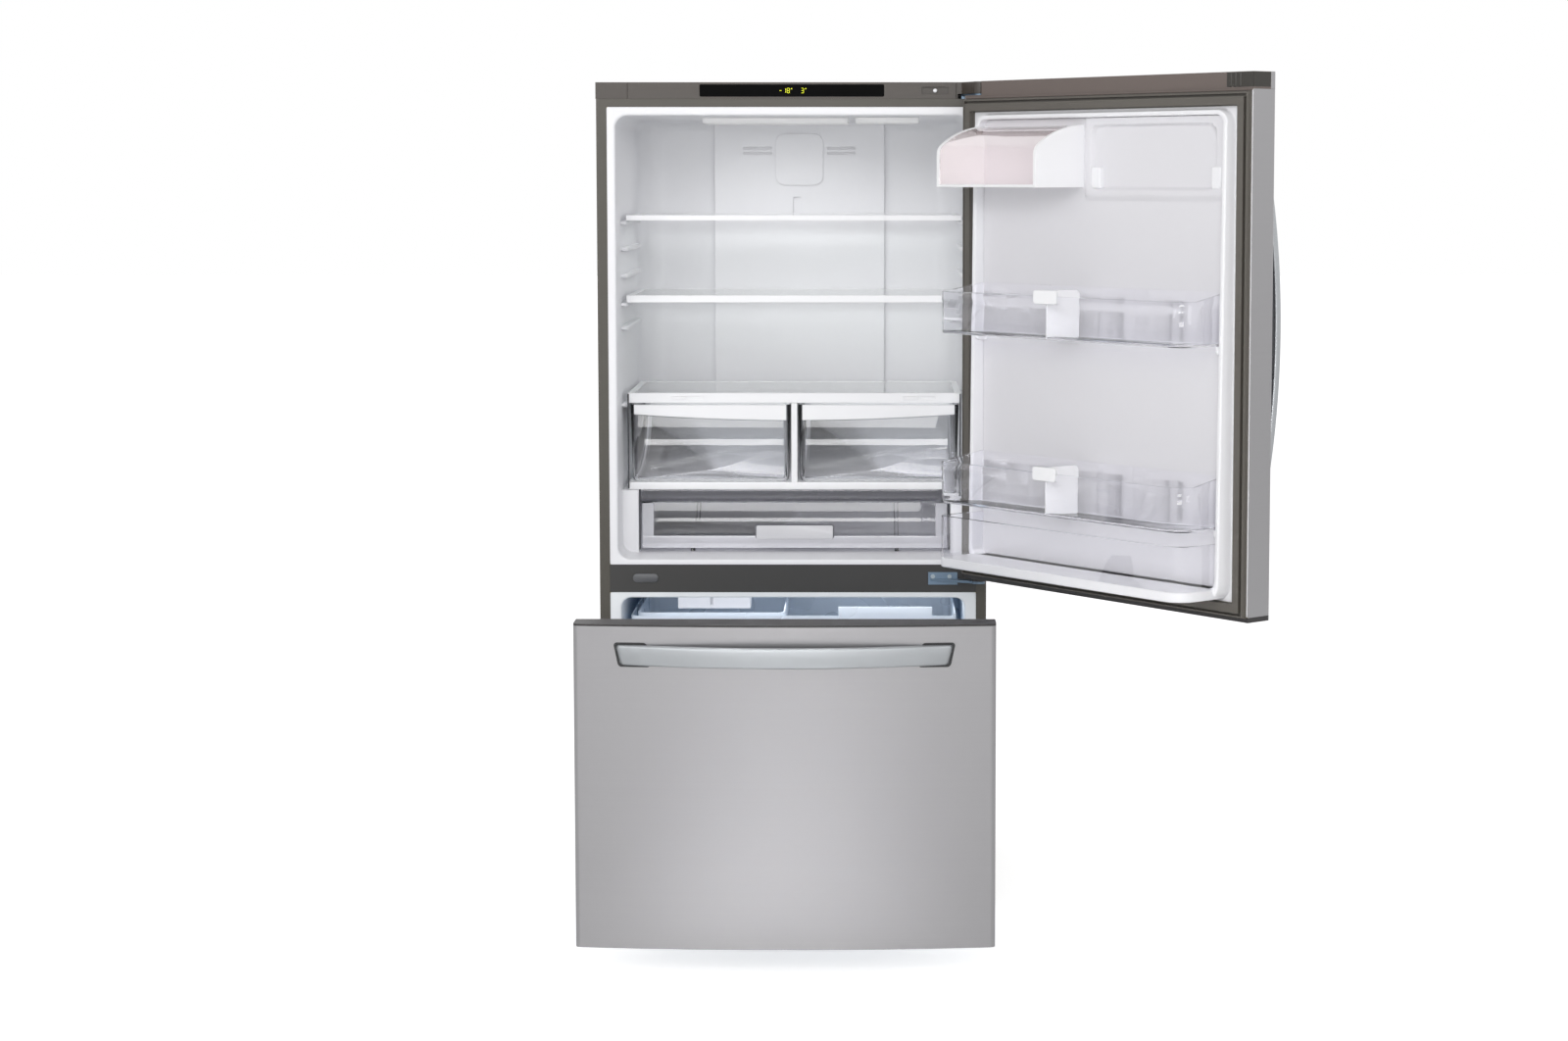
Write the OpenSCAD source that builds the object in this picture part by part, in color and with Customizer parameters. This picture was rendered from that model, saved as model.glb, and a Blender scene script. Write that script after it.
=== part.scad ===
// Bottom-freezer fridge, stored with its fridge door open and its freezer drawer pulled out.
// X runs to the right, Y away from the viewer and Z up. The origin is on the floor,
// under the middle of the case's front plane.

/* [Case] */
// Width of the steel case
case_w = 832; // [812:4:852]
// Depth of the steel case, without the door
case_d = 692; // [680:4:712]
// Top of the steel case above the floor
case_top = 1743; // [1735:2:1763]
// Underside of the steel case above the floor
case_bottom = 34; // [32:1:38]
// Thickness of the steel sheet
sheet = 1; // [0.8:0.1:1.4]
// Width of the steel flanges at the sides of the openings
flange_w = 22; // [18:1:26]
// Height of the steel flange above the fridge compartment
top_flange_h = 17; // [14:1:20]
// Least thickness of foam between a compartment and the machine room
foam_min = 22; // [16:1:30]
// Thickness of the plastic liners
liner_t = 2; // [1.5:0.5:3]

/* [Fridge compartment] */
// Underside of the fridge opening above the floor
fridge_z0 = 747; // [741:1:753]
// Width of the liner's band round the fridge opening
fridge_band = 18; // [14:1:22]
// Rise of the fridge liner's floor behind the opening
fridge_sill = 11; // [8:1:14]
// Thickness of the wall behind the fridge compartment
fridge_back = 102; // [82:2:122]
// Radius of the fridge liner's rear corners
fridge_corner_r = 60; // [40:5:80]
// Radius of the fridge liner's edges from front to back
fridge_edge_r = 26; // [20:1:32]
// How far the liner's shelf ribs stand out
rib_w = 14; // [10:1:18]
// Height of a shelf rib
rib_h = 10; // [7:1:14]
// Tops of the ribs that carry nothing at present
spare_rib_z = [1427, 1369, 1255]; // [1120:1:1460]

/* [Shelves and drawers] */
// Front edge of the shelves behind the case's front
shelf_y0 = 118; // [112:1:126]
// Depth of a shelf
shelf_d = 380; // [340:10:400]
// Underside of the upper shelf
upper_shelf_z = 1484; // [1464:4:1500]
// Underside of the lower shelf
lower_shelf_z = 1306; // [1290:4:1326]
// Height of the upper shelf's trim
upper_trim_h = 11; // [9:1:14]
// Height of the lower shelf's trim
lower_trim_h = 15; // [12:1:18]
// Width of the trim along a shelf's edges
trim_w = 14; // [10:1:18]
// Thickness of the shelf glass
glass_t = 4; // [3:0.5:5]
// Underside of the cover over the crispers
cover_z = 1087; // [1087:1:1096]
// Height of the crisper cover's front trim
cover_h = 21; // [18:1:24]
// Underside of the shelf that the crispers slide on
base_z = 897; // [893:1:899]
// Height of the crisper shelf's front trim
base_h = 16; // [13:1:18]
// Thickness of the wall between the crispers
divider_t = 13; // [10:1:18]
// Height of the valance below the crisper shelf
valance_h = 25; // [18:1:28]
// Height of a crisper
crisper_h = 169; // [150:1:172]
// Depth of a crisper
crisper_d = 380; // [340:10:400]
// Draft of the tubs' walls from rim to floor
draft = 5; // [3:1:8]
// Wall thickness of the clear tubs
tub_wall = 3; // [2.5:0.5:4]
// Width of the pantry drawer
pantry_w = 672; // [640:4:700]
// Height of the pantry drawer above its runners
pantry_h = 103; // [90:1:106]
// Depth of the pantry drawer
pantry_d = 400; // [360:10:420]
// Height of the runners under the pantry drawer
runner_h = 7; // [5:1:9]
// Width of the pantry drawer's grip
grip_w = 165; // [140:5:190]

/* [Freezer compartment] */
// Top of the freezer opening above the floor
freezer_z1 = 687; // [681:1:693]
// Underside of the freezer opening above the floor
freezer_z0 = 100; // [96:1:106]
// Width of the liner's band at the sides of the freezer opening
freezer_band = 24; // [20:1:28]
// Rise of the freezer liner's floor and drop of its ceiling
freezer_sill = 12; // [8:1:14]
// Thickness of the wall behind the freezer compartment, above the machine room
freezer_back = 82; // [67:5:92]
// Radius of the freezer liner's rear corners
freezer_corner_r = 30; // [20:5:40]
// Height of the machine room
machine_h = 240; // [228:2:244]
// Depth of the machine room
machine_d = 230; // [220:5:240]
// Height of the drawer's telescopic rails
rail_h = 42; // [38:1:46]
// Clearance between the rails and the panel before the evaporator
rail_clear = 12; // [8:1:16]
// Thickness of a rail's steel
rail_t = 2; // [1.5:0.5:2.5]
// Width of each rail member
rail_w = 13; // [11:1:14]
// Top of the lower basket above the floor
basket_top = 470; // [450:5:490]
// Top of the ledge that the upper tray slides on
ledge_z = 575; // [565:1:585]
// Rim of the upper tray above the floor
tray_top = 632; // [626:1:634]
// Height of the upper tray
tray_h = 117; // [105:1:120]
// Depth of the room behind that panel for the evaporator
evaporator_room = 80; // [76:1:84]

/* [Door] */
// Thickness of the door at its side
door_t = 64; // [60:1:66]
// Gap that the gasket fills
gasket_gap = 14; // [12:1:16]
// How far the middle of the front stands out past its corners
crown = 24; // [16:1:28]
// Radius of the front's upright edges
edge_r = 12; // [8:1:16]
// Underside of the door above the floor
door_z0 = 725; // [723:1:728]
// Height of the door's top cap
cap_h = 33; // [30:1:35]
// Height of the door's bottom cap
bottom_cap_h = 10; // [8:1:14]
// Width of the gasket
gasket_w = 28; // [24:1:32]
// Distance of the hinge axis from the case's side
hinge_in = 18; // [17:1:20]
// Distance of the hinge axis in front of the case
hinge_out = 40; // [39:1:42]
// Radius of the hinge pins
pin_r = 7; // [6:0.5:8]
// Angle by which the door stands open
door_open = 129.3; // [0:0.1:129.3]
// How far the rim inside the door stands in from the case's side
dike_in = 50; // [48:1:54]
// Width of the rim inside the door
dike_w = 12; // [10:1:16]
// Radius of the rim's outer corners
dike_r = 30; // [22:1:36]
// Height of the rim above the door's inner face
dike_h = 32; // [24:1:36]
// Reach of the door's bins and pocket into the compartment
bin_reach = 110; // [100:1:112]
// Wall thickness of the door bins
bin_wall = 3; // [2.5:0.5:4]
// Radius of the door bins' front corner at the handle's side
bin_r = 40; // [30:1:50]
// Radius of the door bins' front corner at the hinge's side
bin_hinge_r = 14; // [10:1:20]
// Underside of the upper door bin
upper_bin_z = 1254; // [1240:2:1270]
// Underside of the lower door bin
lower_bin_z = 900; // [896:2:916]
// Height of the door bins at the back
bin_h = 104; // [95:1:112]
// How far a bin's front rim lies below its back
bin_drop = 16; // [10:1:22]
// Sideways place of the bins' dividers
divider_x = 27; // [0:1:40]
// Height of the retainer in front of the bottom pocket
retainer_h = 88; // [76:1:96]
// Height of the butter box
butter_h = 126; // [115:1:131]
// How far the butter box's top lies below the fridge's ceiling
butter_drop = 25; // [20:1:36]
// Reach of the butter box into the fridge
butter_y1 = 118; // [106:1:120]
// Distance of the butter box's inner end from the middle
butter_x0 = 50; // [30:2:80]

/* [Freezer drawer] */
// How far the freezer drawer is pulled out
drawer_out = 487; // [0:1:487]
// Underside of the drawer's front above the floor
drawer_z0 = 58; // [54:1:62]
// Top of the drawer front's steel above the floor
drawer_z1 = 701; // [697:1:703]
// Height of the cap on the drawer's front
drawer_cap_h = 4; // [3:0.5:5]

/* [Handles] */
// Length of a handle
handle_l = 664; // [620:4:680]
// Height of a handle's bar
handle_h = 40; // [34:1:46]
// How far a handle's bar stands out past the front
handle_out = 44; // [40:1:50]
// How much shorter a handle's lower edge is at each end than its upper one
handle_slant = 10; // [6:1:14]
// Height of a handle's cut ends above the front
handle_end = 7; // [5:1:10]
// Thickness of a handle's bar in its middle
handle_t = 16; // [12:1:18]
// Length of a handle's foot
handle_foot = 44; // [36:1:56]
// Middle of the drawer's handle above the floor
drawer_handle_z = 645.5; // [636:0.5:652]
// Middle of the door's handle above the floor
door_handle_z = 1277; // [1237:5:1317]
// Distance of the door handle's middle from the door's free edge
door_handle_in = 46; // [40:1:60]

/* [Fascia and hinges] */
// Height of the fascia
fascia_h = 35; // [32:1:38]
// Depth of the fascia
fascia_d = 110; // [90:5:130]
// Width of the covers at the fascia's ends
end_cover_w = 67; // [62:1:70]
// Width of the display window
display_w = 392; // [360:4:410]
// Height of the display window
display_h = 26; // [22:1:28]
// Sideways place of the door switch
switch_x = 304; // [296:1:306]
// Radius of the switch's plunger
plunger_r = 4; // [3:0.5:5]
// Thickness of the hinge plates
hinge_plate_t = 4; // [3:0.5:5]

/* [Base] */
// Radius of the levelling feet
foot_r = 20; // [16:1:24]
// Sideways distance of the feet and rollers from the middle
foot_x = 340; // [320:5:350]
// Distance of the front feet behind the case's front
foot_y = 45; // [40:1:60]
// Radius of the rear rollers
roller_r = 13; // [11:0.5:14]
// Width of a rear roller
roller_w = 26; // [20:1:30]
// Radius of the rollers' axle
axle_r = 4; // [3:0.5:5]

/* [Hidden] */

$fn = 48;
// Clearance where one rigid piece rests on or in another
gap = 0.3;
// Running clearance of a pin in its bore
fit = 0.05;
// Overshoot of a cut past the face that it opens
cut = 1;
// How far the round edges of a crowned front reach past the crown, which trims them
corner_lead = 0.15;
// Height of the end slices of a tapered block
slice = 0.1;

case_x = case_w / 2;
open_x = case_x - flange_w;
fridge_x = open_x - fridge_band;
fridge_z1 = case_top - top_flange_h;
fridge_d = case_d - fridge_back;
freezer_d = case_d - freezer_back;
evaporator_cover_y = freezer_d - evaporator_room;
fridge_floor = fridge_z0 + fridge_sill;
fridge_ceiling = fridge_z1 - fridge_band;
freezer_x = open_x - freezer_band;
freezer_floor = freezer_z0 + freezer_sill;
freezer_ceiling = freezer_z1 - freezer_sill;
machine_top = case_bottom + machine_h;
machine_y = case_d - machine_d;
step_z = machine_top + foam_min + liner_t;
step_y = machine_y - foam_min - liner_t;

hinge_x = case_x - hinge_in;
hinge_y = -hinge_out;
front_y = -gasket_gap - door_t;
door_z1 = case_top + fascia_h - gap;
panel_z0 = door_z0 + bottom_cap_h;
panel_z1 = door_z1 - cap_h;
inner_y = -gasket_gap;
crown_r = (case_x * case_x + crown * crown) / (2 * crown);

// Radius of the arc through a chord's two ends that rises by sag over half the chord
function arc_r(half, sag) = (half * half + sag * sag) / (2 * sag);

// Front surface of the crowned fronts at a sideways place
function front_at(x) = front_y - crown + crown_r - sqrt(crown_r * crown_r - x * x);

// A box from its low corner to its high corner
module box(low, high) {
  translate(low) cube(high - low);
}

// A rectangle about the origin with round corners
module round_rect(w, h, r) {
  square([w - 2 * r, h], center = true);
  square([w, h - 2 * r], center = true);
  for (x = [-1, 1])
    for (y = [-1, 1])
      translate([x * (w / 2 - r), y * (h / 2 - r)]) circle(r);
}

// A compartment's space, with rounded rear corners, from the front plane to depth y1
module bay(half, y1, r, z0, z1) {
  translate([0, 0, z0])
    linear_extrude(z1 - z0) {
      translate([-half, -cut]) square([2 * half, y1 + cut - r]);
      translate([r - half, 0]) square([2 * (half - r), y1]);
      for (x = [-1, 1])
        translate([x * (half - r), y1 - r]) circle(r);
    }
}

// Bar along Y with round edges, between the planes y0 and y1
module round_prism(half, z0, z1, y0, y1, r) {
  translate([0, y1, (z0 + z1) / 2])
    rotate([90, 0, 0])
      linear_extrude(y1 - y0) round_rect(2 * half, z1 - z0, r);
}

// Plan of a crowned front, drawn in by inset from its front and sides, up to plane y1
module front_plan(inset, y1) {
  radius = crown_r - inset;
  half = case_x - inset;
  r = edge_r - inset;
  middle_y = front_y - crown + crown_r;
  corner_y = middle_y - sqrt(pow(radius - r, 2) - pow(half - r, 2)) - corner_lead;
  intersection() {
    translate([0, middle_y]) circle(radius, $fn = 1440);
    union() {
      translate([-half, corner_y]) square([2 * half, y1 - corner_y]);
      translate([r - half, front_y - crown - cut])
        square([2 * (half - r), y1 - front_y + crown + cut]);
      for (x = [-1, 1])
        translate([x * (half - r), corner_y]) circle(r);
    }
  }
}

// A crowned front between two heights
module front_block(inset, y1, z0, z1) {
  translate([0, 0, z0]) linear_extrude(z1 - z0) front_plan(inset, y1);
}

// Turns the closed door to where it stands open
module on_door() {
  translate([hinge_x, hinge_y, 0])
    rotate([0, 0, door_open])
      translate([-hinge_x, -hinge_y, 0]) children();
}

// Moves the closed drawer to where it is pulled out
module on_drawer() {
  translate([0, -drawer_out, 0]) children();
}

// A block that widens from w0 by d0 at its foot to w1 by d1 at height h
module tapered(w0, d0, w1, d1, r, h) {
  hull() {
    linear_extrude(slice) round_rect(w0, d0, r, $fn = 32);
    translate([0, 0, h - slice]) linear_extrude(slice) round_rect(w1, d1, r, $fn = 32);
  }
}

// A tub with tapered walls and round corners, open at the top; w, d and h are its outer size
module tub(w, d, h, r, wall) {
  fw = w - 2 * draft;
  fd = d - 2 * draft;
  difference() {
    tapered(fw, fd, w, d, r, h);
    translate([0, 0, wall])
      tapered(fw - 2 * wall, fd - 2 * wall, w - 2 * wall, d - 2 * wall, r - wall, h);
  }
}

// Profile in Y and Z, swept along X from x0 to x1
module along_x(x0, x1) {
  translate([x0, 0, 0]) rotate([90, 0, 90]) linear_extrude(x1 - x0) children();
}

// Steel wrap of the sides, top and underside, with flanges round the openings
module outer_shell() {
  color([0.45, 0.45, 0.46])
    difference() {
      box([-case_x, 0, case_bottom], [case_x, case_d - sheet, case_top]);
      box([sheet - case_x, sheet, case_bottom + sheet], [case_x - sheet, case_d, case_top - sheet]);
      box([-open_x, -cut, freezer_z0], [open_x, sheet + cut, fridge_z1]);
    }
}

bead_w = 30;
bead_h = 3;

// Steel sheet over the back, stiffened by two pressed beads
module back_panel() {
  color([0.55, 0.55, 0.56]) {
    box([-case_x, case_d - sheet, machine_top], [case_x, case_d, case_top]);
    for (x = [-1, 1])
      translate([x * case_x / 2, case_d - sheet, (machine_top + case_top) / 2])
        rotate([-90, 0, 0])
          linear_extrude(sheet + bead_h)
            round_rect(bead_w, (case_top - machine_top) * 0.8, bead_w / 2 - cut);
  }
}

// Space of the fridge, with round edges
module fridge_space(grow) {
  z0 = fridge_floor - grow;
  z1 = fridge_ceiling + grow;
  intersection() {
    bay(fridge_x + grow, fridge_d + grow, fridge_corner_r + grow, z0 - cut, z1 + cut);
    round_prism(fridge_x + grow, z0, z1, -2 * cut, fridge_d + grow + cut, fridge_edge_r + grow);
  }
}

// Outer shape of the fridge liner, which the foam lies against
module fridge_liner_form() {
  fridge_space(liner_t);
  box([-open_x, sheet, fridge_z0], [open_x, sheet + liner_t, fridge_z1]);
}

// One shelf rib on each side wall, with its top at z
module wall_rib(z) {
  for (x = [-1, 1])
    scale([x, 1, 1])
      box([fridge_x - rib_w, shelf_y0 + gap, z - rib_h],
        [fridge_x + liner_t / 2, shelf_y0 + shelf_d, z]);
}

// Moulded lining of the fridge compartment, with its shelf ribs
module fridge_liner() {
  color([0.93, 0.94, 0.95]) {
    difference() {
      intersection() {
        fridge_liner_form();
        box([-case_x, sheet, 0], [case_x, case_d, case_top]);
      }
      fridge_space(0);
    }
    for (z = concat(spare_rib_z, [upper_shelf_z, lower_shelf_z, cover_z, base_z]))
      wall_rib(z - gap);
  }
}

// Space of the freezer: a tall front part and a part above the machine room
module freezer_space(grow) {
  bay(freezer_x + grow, step_y + grow, freezer_corner_r + grow,
    freezer_floor - grow, freezer_ceiling + grow);
  bay(freezer_x + grow, freezer_d + grow, freezer_corner_r + grow,
    step_z - grow, freezer_ceiling + grow);
}

// Outer shape of the freezer liner, which the foam lies against
module freezer_liner_form() {
  freezer_space(liner_t);
  box([-open_x, sheet, freezer_z0], [open_x, sheet + liner_t, freezer_z1]);
}

ledge_w = 14;
ledge_h = 12;
tray_y0 = 22;
tray_y1 = evaporator_cover_y - 10;

// Moulded lining of the freezer, with a ledge on each side for the upper tray
module freezer_liner() {
  color([0.88, 0.92, 0.96]) {
    difference() {
      intersection() {
        freezer_liner_form();
        box([-case_x, sheet, 0], [case_x, case_d, case_top]);
      }
      freezer_space(0);
    }
    for (x = [-1, 1])
      scale([x, 1, 1])
        box([freezer_x - ledge_w, tray_y0, ledge_z - ledge_h],
          [freezer_x + liner_t / 2, tray_y1, ledge_z]);
  }
}

rail_channel = 18;

// Foam between the steel and the liners, clear of the machine room and the cross rail
module foam_insulation() {
  color([0.93, 0.88, 0.66])
    difference() {
      box([sheet - case_x, sheet, case_bottom + sheet],
        [case_x - sheet, case_d - sheet, case_top - sheet]);
      fridge_liner_form();
      freezer_liner_form();
      box([-open_x, 0, freezer_z1], [open_x, rail_channel, fridge_z0]);
      box([-case_x, machine_y, 0], [case_x, case_d + cut, machine_top]);
    }
}

plug_w = 55;
plug_h = 19;
plug_x = 317.5;
plug_z = freezer_z1 + (fridge_z0 - freezer_z1) / 2 + 1;
plug_t = 2;

// Channel of steel between the two openings, with the plug of the unused hinge place
module mullion_bar() {
  color([0.27, 0.27, 0.26]) {
    difference() {
      box([-open_x, 0, freezer_z1], [open_x, rail_channel, fridge_z0]);
      box([-open_x - cut, rail_t, freezer_z1 + rail_t],
        [open_x + cut, rail_channel + cut, fridge_z0 - rail_t]);
    }
    translate([-plug_x, rail_t / 2, plug_z])
      rotate([90, 0, 0])
        linear_extrude(rail_t / 2 + plug_t) round_rect(plug_w, plug_h, plug_h / 2 - gap);
  }
}

fascia_x = case_x - end_cover_w - gap;
fascia_wall = 3;
fascia_front = 8;
fascia_z = case_top + fascia_h;
display_z = case_top + fascia_h / 2;
display_t = 2;
switch_w = 56;
switch_h = 15;
switch_recess = 5;

// Hollow cover along the top of the front, with the places of the display and switch
module top_fascia() {
  color([0.42, 0.39, 0.36])
    difference() {
      box([-fascia_x, 0, case_top], [fascia_x, fascia_d, fascia_z]);
      box([fascia_wall - fascia_x, fascia_front, case_top - cut],
        [fascia_x - fascia_wall, fascia_d - fascia_wall, fascia_z - fascia_wall]);
      translate([0, 0, display_z])
        rotate([90, 0, 0])
          linear_extrude(2 * display_t, center = true) round_rect(display_w, display_h, 3);
      translate([switch_x, 0, display_z])
        rotate([90, 0, 0])
          linear_extrude(2 * switch_recess, center = true) round_rect(switch_w, switch_h, 3);
      translate([switch_x, 0, display_z])
        rotate([-90, 0, 0]) cylinder(r = plunger_r + gap, h = fascia_front + cut);
    }
}

// Dark window over the display
module display_window() {
  color([0.05, 0.05, 0.06])
    translate([0, display_t, display_z])
      rotate([90, 0, 0])
        linear_extrude(display_t)
          round_rect(display_w - 2 * gap, display_h - 2 * gap, 3 - gap);
}

plate_z = case_top + 6;
barrel_r = 15;
block_x0 = case_x - end_cover_w + gap;
arm_left = 12;
arm_right = 4;
arm_y = 8;

// Plan of the upper hinge's arm, from the case to round the hinge axis
module arm_plan(r) {
  translate([hinge_x, hinge_y]) circle(r);
  polygon([[hinge_x - r, hinge_y], [hinge_x + r, hinge_y],
    [hinge_x - arm_right, arm_y], [hinge_x - arm_left - 2 * r, arm_y]]);
}

// Cover of the upper hinge, and the blank cover at the other end of the fascia
module hinge_covers() {
  color([0.36, 0.34, 0.31]) {
    difference() {
      box([-case_x - cut, 0, case_top], [-fascia_x - 2 * gap, fascia_d, fascia_z]);
      box([fascia_wall - case_x, fascia_wall, case_top - cut],
        [-fascia_x - 2 * gap - fascia_wall, fascia_d - fascia_wall, fascia_z - fascia_wall]);
    }
    difference() {
      union() {
        box([fascia_x + 2 * gap, 0, case_top], [case_x, fascia_d, fascia_z]);
        translate([0, 0, plate_z + hinge_plate_t + gap])
          linear_extrude(fascia_z - plate_z - hinge_plate_t - gap) arm_plan(barrel_r);
      }
      box([fascia_x + 2 * gap + fascia_wall, -cut, case_top - cut],
        [case_x - fascia_wall, fascia_d - fascia_wall, plate_z + hinge_plate_t + gap]);
    }
  }
}

hinge_foot_y = 90;
pin_depth = 26;

// Steel plate of the upper hinge, with the pin that enters the door's top cap
module upper_hinge() {
  color([0.75, 0.76, 0.77]) {
    translate([0, 0, plate_z]) linear_extrude(hinge_plate_t) arm_plan(barrel_r - 2);
    box([hinge_x - arm_left - 2 * barrel_r + 4, arm_y - cut, plate_z],
      [hinge_x - arm_right, hinge_foot_y, plate_z + hinge_plate_t]);
    box([hinge_x - arm_left - 2 * barrel_r + 4, arm_y, case_top],
      [hinge_x - arm_right, hinge_foot_y, plate_z + cut]);
    translate([hinge_x, hinge_y, plate_z - pin_depth])
      cylinder(r = pin_r, h = pin_depth + cut);
  }
}

arm_z = door_z0 - 13;
centre_x0 = 291;
centre_x1 = 354;
centre_plate_z0 = 704;
centre_plate_z1 = 731;
screw_x = [301, 337];
screw_z = 722;
screw_r = 2.5;

// Angle bracket under the door, with the pin that carries the door
module centre_hinge() {
  color([0.78, 0.77, 0.74]) {
    difference() {
      box([centre_x0, -hinge_plate_t, centre_plate_z0], [centre_x1, 0, centre_plate_z1]);
      for (x = screw_x)
        translate([x, -hinge_plate_t - cut, screw_z])
          rotate([-90, 0, 0]) cylinder(r = screw_r + fit, h = hinge_plate_t + 2 * cut);
    }
    translate([0, 0, arm_z])
      linear_extrude(hinge_plate_t + cut) {
        translate([hinge_x, hinge_y]) circle(2 * pin_r);
        polygon([[centre_x0, -hinge_plate_t / 2], [hinge_x - 2 * pin_r, hinge_y - 2],
          [hinge_x + 5, hinge_y - 2 * pin_r + 1], [hinge_x + 2 * pin_r, hinge_y],
          [centre_x1, -hinge_plate_t / 2]]);
      }
    translate([hinge_x, hinge_y, arm_z + cut])
      cylinder(r = pin_r, h = pin_depth + hinge_plate_t);
  }
}

screw_head_r = 5;
screw_head_h = 3.5;

// Hexagonal screws of the centre hinge
module hinge_screws() {
  color([0.62, 0.61, 0.58])
    for (x = screw_x)
      translate([x, -hinge_plate_t, screw_z])
        rotate([90, 0, 0]) {
          cylinder(r = screw_head_r, h = screw_head_h, $fn = 6);
          translate([0, 0, -hinge_plate_t]) cylinder(r = screw_r, h = hinge_plate_t + cut);
        }
}

// One pane of a shelf, lying in the trim that starts at z and is h high
module pane(z, h) {
  box([trim_w + gap - shelf_half, shelf_y0 + trim_w + gap, z + h - glass_t - gap],
    [shelf_half - trim_w - gap, shelf_y0 + shelf_d - trim_w - gap, z + h - gap]);
}

shelf_half = fridge_x - rib_w + 2;
lip_w = 5;

// Frame of a shelf: a trim round the pane and a lip that carries it
module shelf_frame(z, h, half, y1) {
  difference() {
    box([-half, shelf_y0, z], [half, y1, z + h]);
    box([trim_w - half, shelf_y0 + trim_w, z + h - glass_t - 2 * gap],
      [half - trim_w, y1 - trim_w, z + h + cut]);
    box([trim_w + lip_w - half, shelf_y0 + trim_w + lip_w, z - cut],
      [half - trim_w - lip_w, y1 - trim_w - lip_w, z + h + cut]);
  }
}

// Panes of the two shelves
module shelf_glasses() {
  color([0.78, 0.88, 0.88, 0.4]) {
    pane(upper_shelf_z, upper_trim_h);
    pane(lower_shelf_z, lower_trim_h);
  }
}

// Trims of the two shelves
module shelf_trims() {
  color([0.95, 0.95, 0.95]) {
    shelf_frame(upper_shelf_z, upper_trim_h, shelf_half, shelf_y0 + shelf_d);
    shelf_frame(lower_shelf_z, lower_trim_h, shelf_half, shelf_y0 + shelf_d);
  }
}

// Pane over the crispers
module crisper_cover_glass() {
  color([0.78, 0.88, 0.88, 0.4]) pane(cover_z, cover_h);
}

slider_w = 30;
slider_h = 7;
slider_t = 6;
slider_x = 253;
slider_z = cover_z + cover_h / 2;
slider_travel = 40;

// Frame of the crisper cover, with a groove for each humidity slider
module crisper_cover_frame() {
  color([0.9, 0.9, 0.9])
    difference() {
      shelf_frame(cover_z, cover_h, shelf_half, shelf_y0 + shelf_d);
      for (x = [-1, 1])
        box([x * slider_x - slider_w / 2 - gap, shelf_y0 - cut, slider_z - slider_h / 2 - gap],
          [x * slider_x + slider_w / 2 + slider_travel + gap, shelf_y0 + slider_t / 2,
            slider_z + slider_h / 2 + gap]);
    }
}

// Slider at sideways place x in the crisper cover's groove
module humidity_slider(x) {
  translate([x, 0, 0])
    box([-slider_w / 2, shelf_y0 - slider_t / 2 + gap, slider_z - slider_h / 2],
      [slider_w / 2, shelf_y0 + slider_t / 2 - gap, slider_z + slider_h / 2]);
}

// Slider that vents the left crisper
module left_humidity_slider() {
  color("white") humidity_slider(-slider_x);
}

// Slider that vents the right crisper
module right_humidity_slider() {
  color("white") humidity_slider(slider_x);
}

base_plate_t = 9;
base_plate_z = base_z + base_h - base_plate_t;
crisper_z = base_z + base_h;
tub_y0 = shelf_y0 + 7;

// Shelf that the crispers slide on, with the wall between them and the valance below
module crisper_shelf() {
  color([0.94, 0.94, 0.94]) {
    box([-shelf_half, shelf_y0, base_plate_z], [shelf_half, shelf_y0 + shelf_d, crisper_z]);
    box([-shelf_half, shelf_y0, base_z], [shelf_half, shelf_y0 + trim_w, crisper_z]);
    for (x = [-1, 1])
      scale([x, 1, 1])
        box([shelf_half - trim_w, shelf_y0, base_z], [shelf_half, shelf_y0 + shelf_d, crisper_z]);
    box([-divider_t / 2, shelf_y0, crisper_z - cut],
      [divider_t / 2, shelf_y0 + shelf_d - trim_w, cover_z - gap]);
    box([-pantry_w / 2, shelf_y0 + gap, base_z - valance_h],
      [pantry_w / 2, shelf_y0 + tub_wall, base_z + cut]);
  }
}

crisper_w = shelf_half - divider_t / 2 - 5;
crisper_mid = divider_t / 2 + 1 + crisper_w / 2;
strip_t = 7;
strip_h = 34;
strip_rise = 13;
strip_inset = 10;

// Front strip of the crisper to the right of the middle, under one arc that spans both crispers
module grip_strip() {
  x1 = crisper_mid + crisper_w / 2 - strip_inset;
  radius = arc_r(x1, strip_rise);
  rotate([90, 0, 0])
    linear_extrude(strip_t)
      intersection() {
        translate([crisper_mid - crisper_w / 2 + strip_inset, -strip_h])
          square([crisper_w - 2 * strip_inset, strip_h]);
        translate([0, radius - strip_h]) circle(radius, $fn = 1440);
      }
}

// Crisper to the right of the middle: a clear tub with a strip along its front's top
module crisper() {
  translate([crisper_mid, tub_y0 + crisper_d / 2, crisper_z + gap])
    tub(crisper_w, crisper_d, crisper_h, 18, tub_wall);
  translate([0, tub_y0 + tub_wall / 2, crisper_z + gap + crisper_h]) grip_strip();
}

// Crisper on the left
module left_crisper() {
  color([0.85, 0.9, 0.92, 0.5]) scale([-1, 1, 1]) crisper();
}

// Crisper on the right
module right_crisper() {
  color([0.85, 0.9, 0.92, 0.5]) crisper();
}

pantry_y0 = shelf_y0 + 10;
grip_z = fridge_floor + 32;
grip_h = 28;
grip_t = 11;
runner_w = 10;

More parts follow.
